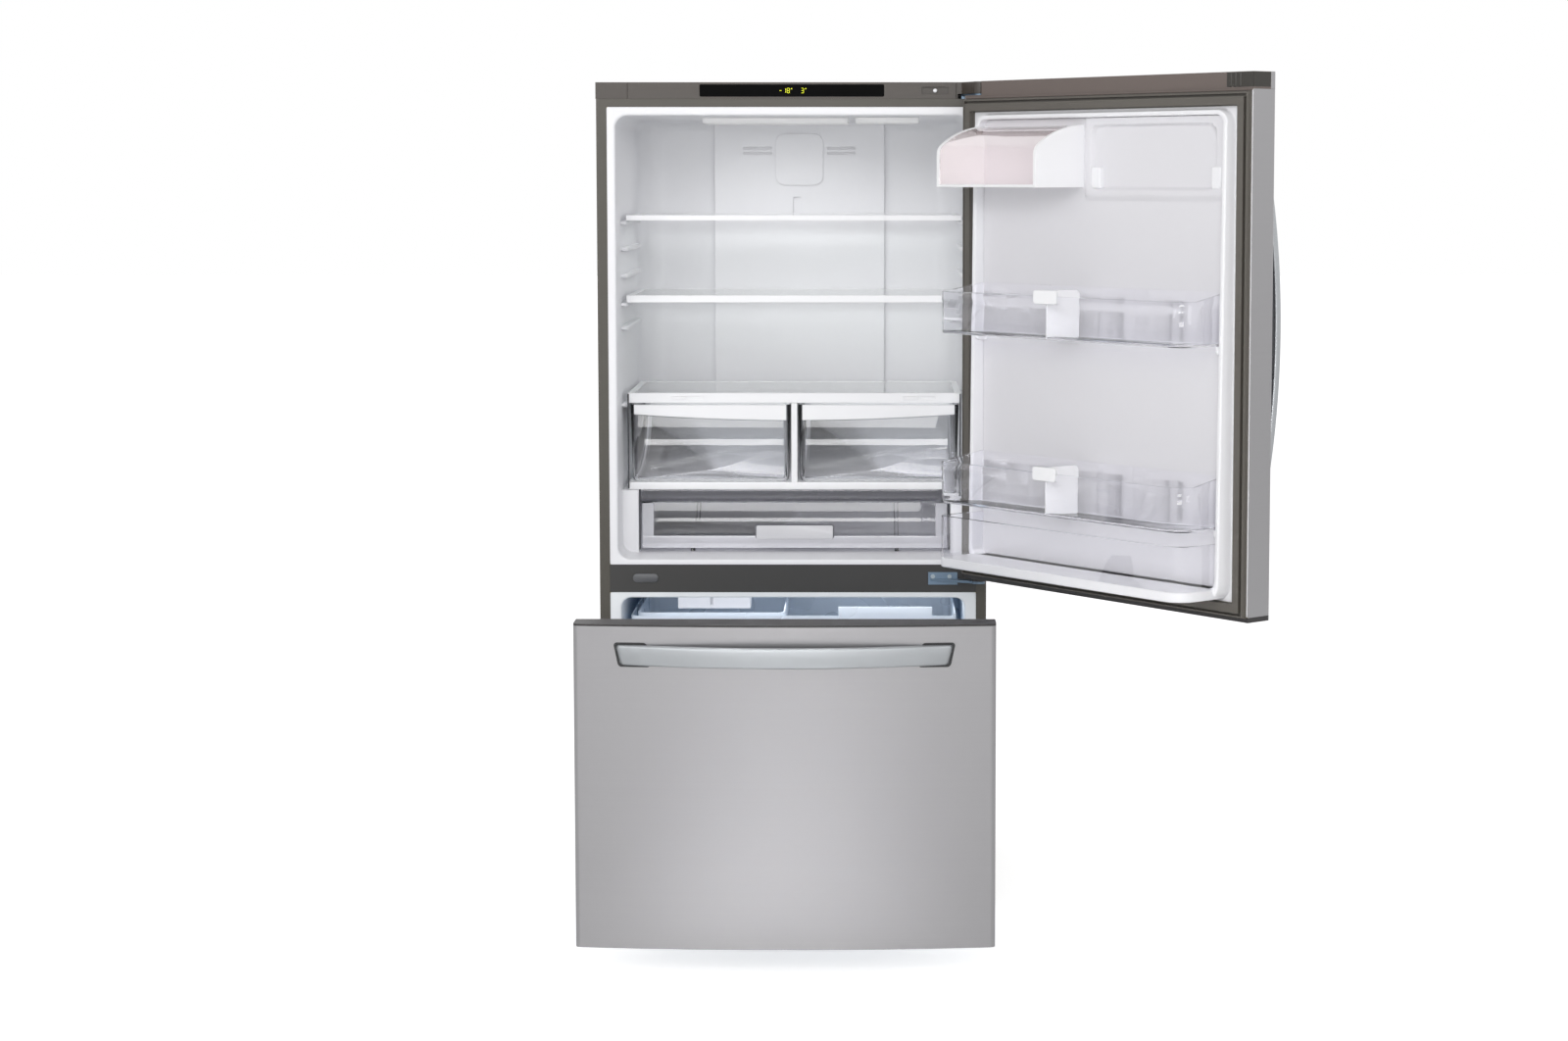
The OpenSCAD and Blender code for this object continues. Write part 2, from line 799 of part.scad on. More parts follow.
// Wide drawer on the floor of the fridge, with its grip and runners
module pantry_drawer() {
  color([0.88, 0.92, 0.93, 0.5]) {
    translate([0, pantry_y0 + pantry_d / 2, fridge_floor + runner_h])
      tub(pantry_w, pantry_d, pantry_h, 22, tub_wall);
    for (x = [-1, 1])
      translate([x * pantry_w / 3, 0, 0])
        box([-runner_w / 2, pantry_y0 + runner_w, fridge_floor + gap],
          [runner_w / 2, pantry_y0 + pantry_d - runner_w * 2, fridge_floor + runner_h + cut]);
    translate([0, pantry_y0 + draft, grip_z + grip_h / 2])
      rotate([90, 0, 0])
        linear_extrude(grip_t + draft) round_rect(grip_w, grip_h, 5);
  }
}

duct_half = 197;
duct_t = 12;
duct_z0 = 930;
duct_cover_w = 110;
duct_cover_h = 119;
duct_cover_t = 4;
duct_cover_r = 22;
duct_cover_z = fridge_ceiling - 90;
vent_w = 66;
vent_x = 97;
vent_h = 6;
vent_z = fridge_ceiling - 70;
duct_slot_x = -6;
duct_slot_z = fridge_ceiling - 196;
duct_slot_w = 18;
duct_slot_h = 39;

// Air duct's cover on the back wall, with a raised square and air slots
module air_duct_panel() {
  color([0.9, 0.92, 0.94])
    difference() {
      union() {
        box([-duct_half, fridge_d - duct_t, duct_z0], [duct_half, fridge_d - gap, fridge_ceiling - gap]);
        translate([0, fridge_d - duct_t + cut, duct_cover_z])
          rotate([90, 0, 0])
            linear_extrude(cut + duct_cover_t) round_rect(duct_cover_w, duct_cover_h, duct_cover_r);
      }
      for (x = [-1, 1])
        for (z = [-1, 1])
          translate([x * vent_x, fridge_d - duct_t, vent_z + z * vent_h])
            rotate([90, 0, 0])
              linear_extrude(duct_t, center = true) round_rect(vent_w, vent_h, vent_h / 2 - gap);
      translate([duct_slot_x, fridge_d - duct_t, duct_slot_z])
        rotate([90, 0, 0])
          linear_extrude(duct_t, center = true) round_rect(duct_slot_w, duct_slot_h, duct_slot_w / 6);
    }
}

lens_t = 14;
lens_r = 10;
main_lens_x = -44;
main_lens_y = 320;
main_lens_w = 324;
main_lens_d = 150;
side_lens_t = 11;
side_lens_x = 203;
side_lens_y = 250;
side_lens_w = 141;
side_lens_d = 90;

// Lenses of the lamps on the fridge ceiling
module lamp_lenses() {
  color([0.97, 0.97, 0.95]) {
    translate([main_lens_x, main_lens_y, fridge_ceiling - lens_t])
      linear_extrude(lens_t) round_rect(main_lens_w, main_lens_d, lens_r);
    translate([side_lens_x, side_lens_y, fridge_ceiling - side_lens_t])
      linear_extrude(side_lens_t) round_rect(side_lens_w, side_lens_d, lens_r);
  }
}

ice_x0 = -252;
ice_x1 = -95;
ice_y0 = 60;
ice_y1 = 330;
ice_h = 32;
ice_motor_d = 50;
ice_inset = 8;
ice_cube_r = 12;
ice_pitch = 32;
ice_cubes = 7;
ice_arm_x = 73;
ice_arm_w = 6;

// Ice maker under the freezer's ceiling, with its mould and motor housing
module ice_maker() {
  color([0.93, 0.94, 0.95])
    difference() {
      union() {
        box([ice_x0, ice_y0, freezer_ceiling - ice_h], [ice_x1, ice_y0 + ice_motor_d, freezer_ceiling]);
        box([ice_x0 + ice_inset, ice_y0 + ice_motor_d - cut, freezer_ceiling - ice_h + ice_inset],
          [ice_x1 - ice_inset, ice_y1, freezer_ceiling]);
      }
      for (i = [0:ice_cubes - 1])
        translate([(ice_x0 + ice_x1) / 2, ice_y0 + ice_motor_d + 25 + ice_pitch * i, freezer_ceiling - ice_h])
          rotate([0, 90, 0])
            cylinder(r = ice_cube_r, h = ice_x1 - ice_x0 - 5 * ice_inset, center = true);
      box([ice_x0 + ice_arm_x - ice_arm_w / 2, ice_y0 - cut, freezer_ceiling - ice_h + ice_inset],
        [ice_x0 + ice_arm_x + ice_arm_w / 2, ice_y0 + ice_arm_w, freezer_ceiling - ice_inset]);
    }
}

cover_plate_t = 4;
grille_r = 62;
grille_pitch = 16;
grille_slot_h = 7;
air_slot_x = 230;
air_slot_w = 150;
air_slot_h = 6;
air_slot_pitch = 14;
air_slot_rise = 30;

// Panel in front of the evaporator, with its air slots and the fan's grille
module evaporator_cover() {
  color([0.85, 0.89, 0.93])
    difference() {
      box([gap - freezer_x, evaporator_cover_y, step_z + gap],
        [freezer_x - gap, evaporator_cover_y + cover_plate_t, freezer_ceiling - gap]);
      for (i = [-3:3])
        translate([0, evaporator_cover_y, freezer_ceiling - 1.45 * grille_r + grille_pitch * i])
          rotate([90, 0, 0])
            linear_extrude(4 * cover_plate_t, center = true)
              round_rect(2 * sqrt(pow(grille_r, 2) - pow(grille_pitch * i, 2)), grille_slot_h,
                grille_slot_h / 2 - gap);
      for (x = [-1, 1])
        for (i = [0:3])
          translate([x * air_slot_x, evaporator_cover_y, step_z + air_slot_rise + air_slot_pitch * i])
            rotate([90, 0, 0])
              linear_extrude(4 * cover_plate_t, center = true)
                round_rect(air_slot_w, air_slot_h, air_slot_h / 2 - gap);
    }
}

coil_half = 240;
coil_y0 = evaporator_cover_y + 22;
tube_r = 4;
row_step = 34;
coil_rows = 7;
coil_rise = 50;
fin_over = 16;
fin_margin = 20;
fin_step = 40;

// Half a ring of tube that joins two rows a step apart; side is 1 for the right end, -1 for the left
module bend(step, side) {
  intersection() {
    rotate([90, 0, 0]) rotate_extrude() translate([step / 2, 0]) circle(tube_r);
    scale([side, 1, 1]) box([0, -step, -step], [step, step, step]);
  }
}

// Evaporator: rows of tube joined by bends, through upright fins
module evaporator() {
  color([0.72, 0.73, 0.75]) {
    for (row = [0:coil_rows - 1])
      translate([0, (coil_y0 + freezer_d) / 2, step_z + coil_rise + row * row_step]) {
        rotate([0, 90, 0]) cylinder(r = tube_r, h = 2 * coil_half, center = true);
        side = row % 2 == 0 ? 1 : -1;
        if (row < coil_rows - 1)
          translate([side * coil_half, 0, row_step / 2]) bend(row_step, side);
      }
    for (x = [fin_margin - coil_half:fin_step:coil_half - fin_margin])
      box([x, coil_y0, step_z + coil_rise - fin_over],
        [x + sheet, freezer_d - gap, step_z + coil_rise + fin_over + (coil_rows - 1) * row_step]);
  }
}

rail_z0 = step_z + 3;
rail_y0 = 18;
rail_l = evaporator_cover_y - rail_clear - rail_y0;

// A rail's channel: a web at x1 and lips towards x0, lying h high from z0
module channel(x0, x1, y0, y1, z0, h) {
  difference() {
    box([x0, y0, z0], [x1, y1, z0 + h]);
    box([x0 - cut, y0 - cut, z0 + rail_t], [x1 - rail_t, y1 + cut, z0 + h - rail_t]);
  }
}

// Rails on the freezer's side walls
module outer_rails() {
  color([0.7, 0.71, 0.72])
    for (x = [-1, 1])
      scale([x, 1, 1])
        channel(freezer_x - rail_w, freezer_x, rail_y0, rail_y0 + rail_l, rail_z0, rail_h);
}

mid_in = rail_t + gap;

// Middle members of the rails, which travel half as far as the drawer
module middle_rails() {
  color([0.66, 0.67, 0.68])
    translate([0, -drawer_out / 2, 0])
      for (x = [-1, 1])
        scale([x, 1, 1])
          channel(freezer_x - rail_w - 2, freezer_x - mid_in, rail_y0, rail_y0 + rail_l,
            rail_z0 + mid_in, rail_h - 2 * mid_in);
}

carrier_w = 12;
carrier_z1 = rail_z0 + rail_h + 3;
dike_rise = 12;
drawer_rail_y0 = dike_rise;

// Inner members of the rails, with the carriers that the basket hangs on
module drawer_rails() {
  color([0.7, 0.71, 0.72])
    on_drawer()
      for (x = [-1, 1])
        scale([x, 1, 1]) {
          x0 = freezer_x - rail_w - 4;
          channel(x0, freezer_x - 2 * mid_in, drawer_rail_y0, rail_y0 + rail_l,
            rail_z0 + 2 * mid_in, rail_h - 4 * mid_in);
          box([x0 - rail_t, drawer_rail_y0, rail_z0 + 2 * mid_in],
            [x0 + rail_t, rail_y0 + rail_l, carrier_z1]);
          box([x0 - carrier_w, drawer_rail_y0, carrier_z1 - rail_t],
            [x0 + rail_t, rail_y0 + rail_l, carrier_z1]);
          box([x0 - carrier_w, drawer_rail_y0, rail_z0 + 2 * mid_in],
            [x0 + rail_t, drawer_rail_y0 + rail_t, carrier_z1]);
        }
}

pump_x = 230;
pump_r = 78;
pump_h = 170;
pump_y = (machine_y + case_d) / 2;
machine_floor = case_bottom + sheet;
pump_foot_h = 14;
pump_foot_r = 12;
pump_plate_t = 4;
pump_dome_r = 99;
pump_dome_h = 40;

// Compressor: a domed can on four feet
module compressor() {
  color([0.12, 0.12, 0.13])
    translate([pump_x, pump_y, machine_floor]) {
      rotate_extrude()
        intersection() {
          union() {
            translate([0, pump_plate_t]) square([pump_r, pump_h - pump_dome_h - pump_plate_t]);
            translate([0, pump_h - pump_dome_r]) circle(pump_dome_r);
          }
          translate([0, 2 * pump_plate_t]) square([pump_r, pump_h]);
        }
      for (x = [-1, 1])
        for (y = [-1, 1])
          translate([x * pump_r * 0.8, y * pump_r * 0.8, 0]) cylinder(r = pump_foot_r, h = pump_foot_h);
      translate([0, 0, pump_foot_h - cut])
        linear_extrude(pump_plate_t) round_rect(pump_r * 2, pump_r * 2, pump_r / 4);
    }
}

cond_x0 = -366;
cond_x1 = -160;
cond_rows = 8;
cond_step = 24;
shroud_x = -62;
fan_hole_r = 86;
fan_z = machine_floor + 108;
fan_r = 82;
shaft_r = 3;
stack_y = 34;
stack_rise = 26;
side_plate_t = 2;
side_plate_y = 46;
side_plate_h = 206;
side_plate_in = 20;
shroud_t = 3;
shroud_in = 12;
motor_r = 22;
motor_l = 40;
motor_x = shroud_x - 60;
strut_w = 4;
strut_x = motor_x + 10;
strut_half = 5;
post_l = 14;
hub_h = 26;

// Condenser: two stacks of tube on a tray, with the fan's shroud and motor
module condenser() {
  color([0.2, 0.2, 0.21]) {
    for (y = [-1, 1])
      for (row = [0:cond_rows - 1])
        translate([0, pump_y + y * stack_y, machine_floor + stack_rise + row * cond_step]) {
          translate([(cond_x0 + cond_x1) / 2, 0, 0])
            rotate([0, 90, 0]) cylinder(r = tube_r, h = cond_x1 - cond_x0, center = true);
          side = row % 2 == 0 ? 1 : -1;
          if (row < cond_rows - 1)
            translate([side > 0 ? cond_x1 : cond_x0, 0, cond_step / 2]) bend(cond_step, side);
        }
    for (x = [cond_x0 + side_plate_in, cond_x1 - side_plate_in - side_plate_t])
      box([x, pump_y - side_plate_y, machine_floor],
        [x + side_plate_t, pump_y + side_plate_y, machine_floor + side_plate_h]);
    box([cond_x0 + side_plate_in, pump_y - side_plate_y, machine_floor],
      [shroud_x, pump_y + side_plate_y, machine_floor + shroud_t]);
    difference() {
      box([shroud_x, machine_y + shroud_in, machine_floor],
        [shroud_x + shroud_t, case_d - shroud_in, machine_top - shroud_in]);
      translate([shroud_x - cut, pump_y, fan_z])
        rotate([0, 90, 0]) cylinder(r = fan_hole_r, h = shroud_t + 2 * cut);
    }
    translate([motor_x, pump_y, fan_z])
      rotate([0, 90, 0]) {
        cylinder(r = motor_r, h = motor_l);
        cylinder(r = shaft_r, h = motor_l + hub_h + 8);
      }
    box([strut_x, pump_y - post_l / 2, machine_floor + sheet], [strut_x + post_l, pump_y + post_l / 2, fan_z]);
    box([strut_x, machine_y + shroud_in, fan_z - strut_half],
      [strut_x + strut_w, case_d - shroud_in, fan_z + strut_half]);
    for (y = [machine_y + shroud_in, case_d - shroud_in - strut_w])
      box([strut_x, y, fan_z - strut_half], [shroud_x + cut, y + strut_w, fan_z + strut_half]);
  }
}

blade_pitch = 32;
blade_w = 46;
blade_t = 2;
hub_r = 20;

// Fan on the motor's shaft: a hub with five pitched blades
module condenser_fan() {
  color([0.3, 0.3, 0.32])
    translate([motor_x + motor_l + 6, pump_y, fan_z])
      rotate([0, 90, 0])
        difference() {
          union() {
            cylinder(r = hub_r, h = hub_h);
            intersection() {
              translate([0, 0, -6]) cylinder(r = fan_r, h = hub_h + 12);
              for (i = [0:4])
                rotate([0, 0, 72 * i])
                  translate([fan_r / 2 + 8, 0, hub_h / 2])
                    rotate([blade_pitch, 0, 0])
                      cube([fan_r, blade_w, blade_t], center = true);
            }
          }
          translate([0, 0, -cut]) cylinder(r = shaft_r + fit, h = hub_h + 2 * cut);
        }
}

slot_w = 90;
slot_h = 7;
slot_rows = 6;
slot_cols = 5;
slot_pitch_x = 130;
slot_pitch_z = 22;

// Slotted cover over the machine room at the back
module machine_cover() {
  color([0.25, 0.25, 0.26])
    difference() {
      box([sheet + gap - case_x, case_d - sheet - 1, machine_floor + gap],
        [case_x - sheet - gap, case_d, machine_top - gap]);
      for (col = [0:slot_cols - 1])
        for (row = [0:slot_rows - 1])
          translate([(col - (slot_cols - 1) / 2) * slot_pitch_x, case_d,
            (machine_floor + machine_top) / 2 + (row - (slot_rows - 1) / 2) * slot_pitch_z])
            cube([slot_w, 4 * hinge_plate_t, slot_h], center = true);
    }
}

roller_y = case_d - 55;
ear_t = 3;
pan_t = 4;
boss_r = 12;
boss_z0 = 14;
stem_r = 5;
pan_in = 12;
ear_half = 14;
ear_drop = 8;
skirt_y = 8;

// Base: a pan under the case, bosses for the feet and ears that hold the rollers' axle
module base_frame() {
  color([0.2, 0.2, 0.2]) {
    difference() {
      union() {
        box([pan_in - case_x, pan_in, case_bottom - pan_t], [case_x - pan_in, case_d - pan_in, case_bottom]);
        for (x = [-1, 1])
          translate([x * foot_x, foot_y, boss_z0])
            cylinder(r = boss_r, h = case_bottom - boss_z0);
      }
      for (x = [-1, 1])
        translate([x * foot_x, foot_y, boss_z0 - cut])
          cylinder(r = stem_r + fit, h = case_bottom - boss_z0);
    }
    for (x = [-1, 1])
      translate([x * foot_x, roller_y, 0]) {
        for (side = [-1, 1])
          translate([side * (roller_w / 2 + gap + ear_t / 2), 0, 0])
            box([-ear_t / 2, -ear_half, roller_r - ear_drop],
              [ear_t / 2, ear_half, case_bottom - pan_t + cut]);
        translate([0, 0, roller_r])
          rotate([0, 90, 0])
            cylinder(r = axle_r, h = roller_w + 2 * gap + 2 * ear_t, center = true);
      }
    box([pan_in - case_x, skirt_y, pan_in], [case_x - pan_in, pan_in + cut, case_bottom]);
  }
}

// Levelling feet under the front
module levelling_feet() {
  color([0.1, 0.1, 0.1])
    for (x = [-1, 1])
      translate([x * foot_x, foot_y, 0]) {
        cylinder(r = foot_r, h = 7);
        cylinder(r = foot_r * 0.7, h = 11);
        cylinder(r = stem_r, h = case_bottom - pan_t);
      }
}

// Pair of rollers under the back, turning on the base's axle
module rollers() {
  color([0.16, 0.16, 0.17])
    for (x = [-1, 1])
      translate([x * foot_x, roller_y, roller_r])
        rotate([0, 90, 0])
          difference() {
            cylinder(r = roller_r, h = roller_w, center = true);
            cylinder(r = axle_r + fit, h = roller_w + 2 * cut, center = true);
          }
}

// Plunger of the door switch, sprung out of the fascia
module switch_plunger() {
  color([0.9, 0.9, 0.9])
    translate([switch_x, fascia_front + 4, display_z])
      rotate([90, 0, 0]) {
        cylinder(r = plunger_r, h = fascia_front + 4);
        cylinder(r = plunger_r + 2, h = 3);
        translate([0, 0, fascia_front + 4]) cylinder(r = plunger_r * 0.7, h = 2);
      }
}

// Steel skin of the door: the crowned front and both sides
module door_panel() {
  color([0.72, 0.72, 0.73])
    on_door()
      difference() {
        front_block(0, inner_y, panel_z0, panel_z1);
        translate([0, 0, panel_z0 - cut])
          linear_extrude(panel_z1 - panel_z0 + 2 * cut) front_plan(sheet, inner_y + cut);
      }
}

socket_r = pin_r + 4;
socket_depth = 22;

// Room for the socket of a hinge pin, up to height z1 from z0
module socket_space(r, z0, z1) {
  translate([hinge_x, hinge_y, z0]) cylinder(r = r, h = z1 - z0);
}

// Foam inside the door
module door_foam() {
  color([0.93, 0.88, 0.66])
    on_door()
      difference() {
        front_block(sheet, inner_y - liner_t, panel_z0, panel_z1);
        socket_space(socket_r, panel_z1 - socket_depth, panel_z1 + cut);
        socket_space(socket_r, panel_z0 - cut, panel_z0 + socket_depth);
      }
}

dike_x = case_x - dike_in;
bay_x = dike_x - dike_w;
dike_z0 = fridge_floor + 8;
dike_z1 = fridge_ceiling - 2;
dike_y1 = inner_y + dike_h;
pocket_floor = dike_z0 + 20;
dike_top_w = 9;
dike_top_h = 18;
butter_top = fridge_ceiling - butter_drop;
butter_z = butter_top - butter_h;
clip_z = butter_z + 24;
clip_x = [0, -334];
clip_r = 5;
recess_z0 = butter_z - 2;
recess_z1 = butter_top - 3;
recess_w = 347;
recess_r = 25;
recess_t = 1.2;
clip_h = 9;
stud_l = 10;
stud_w = 16;

// Small ledges inside the rim that carry a bin whose underside is at z
module bin_ledges(z) {
  for (x = [-1, 1])
    scale([x, 1, 1])
      box([bay_x - stud_l, inner_y - cut, z - gap - stud_w], [bay_x + cut, dike_y1 - 4, z - gap]);
}

// White inner face of the door, with its rim, the bins' ledges and the floor of the pocket
module door_liner() {
  color([0.95, 0.95, 0.95])
    on_door() {
      difference() {
        box([sheet - case_x, inner_y - liner_t, panel_z0], [case_x - sheet, inner_y, panel_z1]);
        translate([(clip_x[0] + clip_x[1]) / 2 + 14, inner_y, (recess_z0 + recess_z1) / 2])
          rotate([90, 0, 0])
            linear_extrude(2 * recess_t, center = true)
              round_rect(recess_w, recess_z1 - recess_z0, recess_r);
      }
      difference() {
        round_prism(dike_x, dike_z0, dike_z1, inner_y - cut, dike_y1, dike_r);
        box([-bay_x, inner_y, pocket_floor], [bay_x, dike_y1 + cut, dike_z1 - dike_top_w]);
        box([-bay_x, inner_y + dike_top_h, pocket_floor], [bay_x, dike_y1 + cut, dike_z1 + cut]);
      }
      intersection() {
        translate([0, 0, dike_z0])
          linear_extrude(pocket_floor - dike_z0) bin_outline(bin_reach, bay_x);
        round_prism(dike_x + cut, dike_z0 - cut, dike_z1, inner_y - 2 * cut, bin_reach + cut, dike_r);
      }
      for (z = [upper_bin_z, lower_bin_z])
        bin_ledges(z);
      for (x = clip_x)
        translate([x, inner_y - liner_t, clip_z])
          rotate([-90, 0, 0]) cylinder(r = clip_r, h = clip_h + liner_t);
    }
}

lip_t = 3;
lip_in = 10;

// Gasket round an opening's edge: a base, two outer folds, a wall behind, and the sealing lip,
// which starts so far in that the corner at the hinge stays clear of the case as the door turns
module gasket(half, z0, z1) {
  bands = [[0, gasket_w], [2, 5], [lip_in + 1, lip_in + 7], [gasket_w - 5, gasket_w - 2],
    [lip_in, gasket_w - 2]];
  for (i = [0:len(bands) - 1]) {
    a = bands[i][0];
    b = bands[i][1];
    y0 = i < 4 ? inner_y : -gap - lip_t;
    y1 = i == 4 ? -gap : i == 0 ? inner_y + lip_t : -lip_t;
    difference() {
      box([a - half, y0, z0 + a], [half - a, y1, z1 - a]);
      box([b - half, y0 - cut, z0 + b], [half - b, y1 + cut, z1 - b]);
    }
  }
}

seal_x = case_x - 4;
door_seal_z0 = centre_plate_z1 + 2;
door_seal_z1 = case_top - 2;

// Gasket of the door
module door_gasket() {
  color([0.38, 0.37, 0.35]) on_door() gasket(seal_x, door_seal_z0, door_seal_z1);
}

notch_in = 34;
notch_deep = 24;
cap_floor = 4;

// Top cap of the door, with a socket for the hinge pin and a notch for the hinge's arm
module door_top_cap() {
  color([0.42, 0.39, 0.36])
    on_door()
      difference() {
        union() {
          front_block(0, inner_y, panel_z1, door_z1);
          socket_space(socket_r, panel_z1 - socket_depth, panel_z1 + cut);
        }
        box([hinge_x - notch_in, hinge_y - notch_deep, panel_z1 + cap_floor],
          [case_x + cut, cut, door_z1 + cut]);
        socket_space(pin_r + fit, panel_z1 - socket_depth - cut, door_z1);
      }
}

foot_ring_r = 15;

// Bottom cap of the door, with the bush that rests on the centre hinge
module door_bottom_cap() {
  color([0.55, 0.55, 0.56])
    on_door()
      difference() {
        union() {
          front_block(0, inner_y, door_z0, panel_z0);
          socket_space(socket_r, door_z0, panel_z0 + socket_depth);
          socket_space(foot_ring_r, arm_z + hinge_plate_t + cut + gap, door_z0 + cut);
        }
        socket_space(pin_r + fit, arm_z, arm_z + pin_depth + hinge_plate_t + 2 * cut + gap);
      }
}

// Plan of an arched bar over a front that sags by base_sag over half the bar's length
module arched_bar(base_sag) {
  half = handle_l / 2;
  inner_half = half - handle_foot;
  outer_r = arc_r(half, handle_out + base_sag - handle_end);
  inner_sag = base_sag * pow(inner_half / half, 2);
  inner_r = arc_r(inner_half, handle_out - handle_t + inner_sag);
  difference() {
    intersection() {
      translate([0, outer_r - handle_out]) circle(outer_r, $fn = 720);
      translate([-half, -handle_out - cut]) square([handle_l, handle_out + base_sag + 6]);
    }
    translate([0, inner_r - handle_out + handle_t]) circle(inner_r, $fn = 720);
  }
}

// Handle along X, as high as handle_h, with slanted ends
module handle_bar(base_sag) {
  half = handle_l / 2;
  intersection() {
    linear_extrude(handle_h, center = true) arched_bar(base_sag);
    rotate([90, 0, 0])
      linear_extrude(3 * handle_out, center = true)
        polygon([[handle_slant - half, -handle_h / 2 - cut], [half - handle_slant, -handle_h / 2 - cut],
          [half, handle_h / 2 + cut], [-half, handle_h / 2 + cut]]);
  }
}

// Upright handle near the door's free edge
module door_handle() {
  x = door_handle_in - case_x;
  color([0.84, 0.85, 0.86])
    on_door()
      difference() {
        translate([x, front_at(x), door_handle_z])
          rotate([0, -90, 0]) handle_bar(0);
        front_block(0, 0, door_handle_z - handle_l, door_handle_z + handle_l);
      }
}

// Outline of a bin in plan, up to reach and half wide, with a round corner at either end
module bin_outline(reach, half) {
  a = bin_r;
  b = bin_hinge_r;
  translate([-half, inner_y]) square([2 * half - b, reach - inner_y - a]);
  translate([a - half, inner_y]) square([2 * half - a - b, reach - inner_y]);
  translate([a - half, inner_y]) square([2 * half - a, reach - inner_y - b]);
  translate([a - half, reach - a]) circle(a);
  translate([half - b, reach - b]) circle(b);
}

// Inner outline of a bin, drawn in by its wall
module bin_inside(reach, half) {
  a = bin_r - bin_wall;
  b = bin_hinge_r - bin_wall;
  w = half - bin_wall;
  y0 = inner_y + gap + bin_wall;
  y1 = reach - bin_wall;
  translate([-w, y0]) square([2 * w - b, y1 - y0 - a]);
  translate([a - w, y0]) square([2 * w - a - b, y1 - y0]);
  translate([a - w, y0]) square([2 * w - a, y1 - y0 - b]);
  translate([a - w, y1 - a]) circle(a);
  translate([w - b, y1 - b]) circle(b);
}

bin_x = bay_x - gap;

// Door bin with its underside at z, whose rim drops towards the front
module door_bin(z) {
  difference() {
    translate([0, 0, z])
      linear_extrude(bin_h)
        intersection() {
          bin_outline(bin_reach, bin_x);
          translate([-case_x, inner_y + gap]) square([case_w, case_w]);
        }
    translate([0, 0, z + bin_wall]) linear_extrude(bin_h) bin_inside(bin_reach, bin_x);
    along_x(-case_x, case_x)
      polygon([[bin_reach * 0.15, z + bin_h + cut], [bin_reach * 0.35, z + bin_h - bin_drop],
        [bin_reach + cut, z + bin_h - bin_drop], [bin_reach + cut, z + bin_h + cut]]);
  }
}

// Upper bin inside the door
module upper_door_bin() {
  color([0.85, 0.9, 0.92, 0.5]) on_door() door_bin(upper_bin_z);
}

// Lower bin inside the door
module lower_door_bin() {
  color([0.85, 0.9, 0.92, 0.5]) on_door() door_bin(lower_bin_z);
}

sheet_t = 2.5;
sheet_y0 = 18;
tab_w = 68;
tab_h = 16;
tab_r = 6;
divider_rise = 11;

// Divider that hooks over the front rim of the bin whose underside is at z
module bin_divider(z) {
  rim = z + bin_h - bin_drop;
  top = rim + divider_rise;
  y_in = bin_reach - bin_wall - gap;
  y_out = bin_reach + gap;
  translate([divider_x, 0, 0]) {
    box([-sheet_t / 2, sheet_y0, z + bin_wall + gap], [sheet_t / 2, y_in, top]);
    round_prism(tab_w / 2, rim - tab_h, top, y_in - sheet_t, y_in, tab_r);
    round_prism(tab_w / 2, rim - tab_h, top, y_out, y_out + sheet_t, tab_r);
    box([tab_r - tab_w / 2, y_in - sheet_t, rim + gap], [tab_w / 2 - tab_r, y_out + sheet_t, top]);
  }
}

// Divider of the upper bin
module upper_bin_divider() {
  color("white") on_door() bin_divider(upper_bin_z);
}

// Divider of the lower bin
module lower_bin_divider() {
  color("white") on_door() bin_divider(lower_bin_z);
}

// Clear retainer standing on the pocket's floor at the foot of the door
module pocket_retainer() {
  color([0.85, 0.9, 0.92, 0.5])
    on_door()
      translate([0, 0, pocket_floor + gap])
        linear_extrude(retainer_h)
          difference() {
            intersection() {
              bin_outline(bin_reach, bin_x);
              translate([-case_x, inner_y + gap]) square([case_w, case_w]);
            }
            bin_inside(bin_reach, bin_x);
            translate([-bin_x + bin_wall, inner_y - cut])
              square([2 * (bin_x - bin_wall), cut + gap + bin_wall + cut]);
          }
}

butter_base = 6;
butter_x1 = bay_x - gap;
butter_top_r = 210;
butter_bend_r = 24;
butter_mid_z = butter_top - butter_top_r;
butter_bend_y = butter_y1 - butter_bend_r;
butter_bend_a = acos((butter_bend_y - inner_y) / (butter_top_r - butter_bend_r));
butter_bend_z = butter_mid_z + (butter_top_r - butter_bend_r) * sin(butter_bend_a);
bend_steps = 10;
cheek_t = 3;
cover_t = 2.5;
cover_inset = 1.5;
cover_y0 = -8;
lid_y = 6;
lid_pin_r = 3;
lid_ear_r = 7;
lid_z = butter_top - cover_inset - lid_ear_r - 2;

// Profile of the butter box in Y and Z, drawn in by d: a flat arc over the top, a bend, an upright front
module butter_profile(d, y0, z0) {
  top_r = butter_top_r - d;
  bend_r = butter_bend_r - d;
  start = acos((y0 - inner_y) / top_r);
  polygon(concat(
    [for (i = [0:bend_steps]) let (a = start + (butter_bend_a - start) * i / bend_steps)
      [inner_y + top_r * cos(a), butter_mid_z + top_r * sin(a)]],
    [for (i = [1:bend_steps]) let (a = butter_bend_a * (1 - i / bend_steps))
      [butter_bend_y + bend_r * cos(a), butter_bend_z + bend_r * sin(a)]],
    [[butter_y1 - d, z0], [y0, z0]]));
}

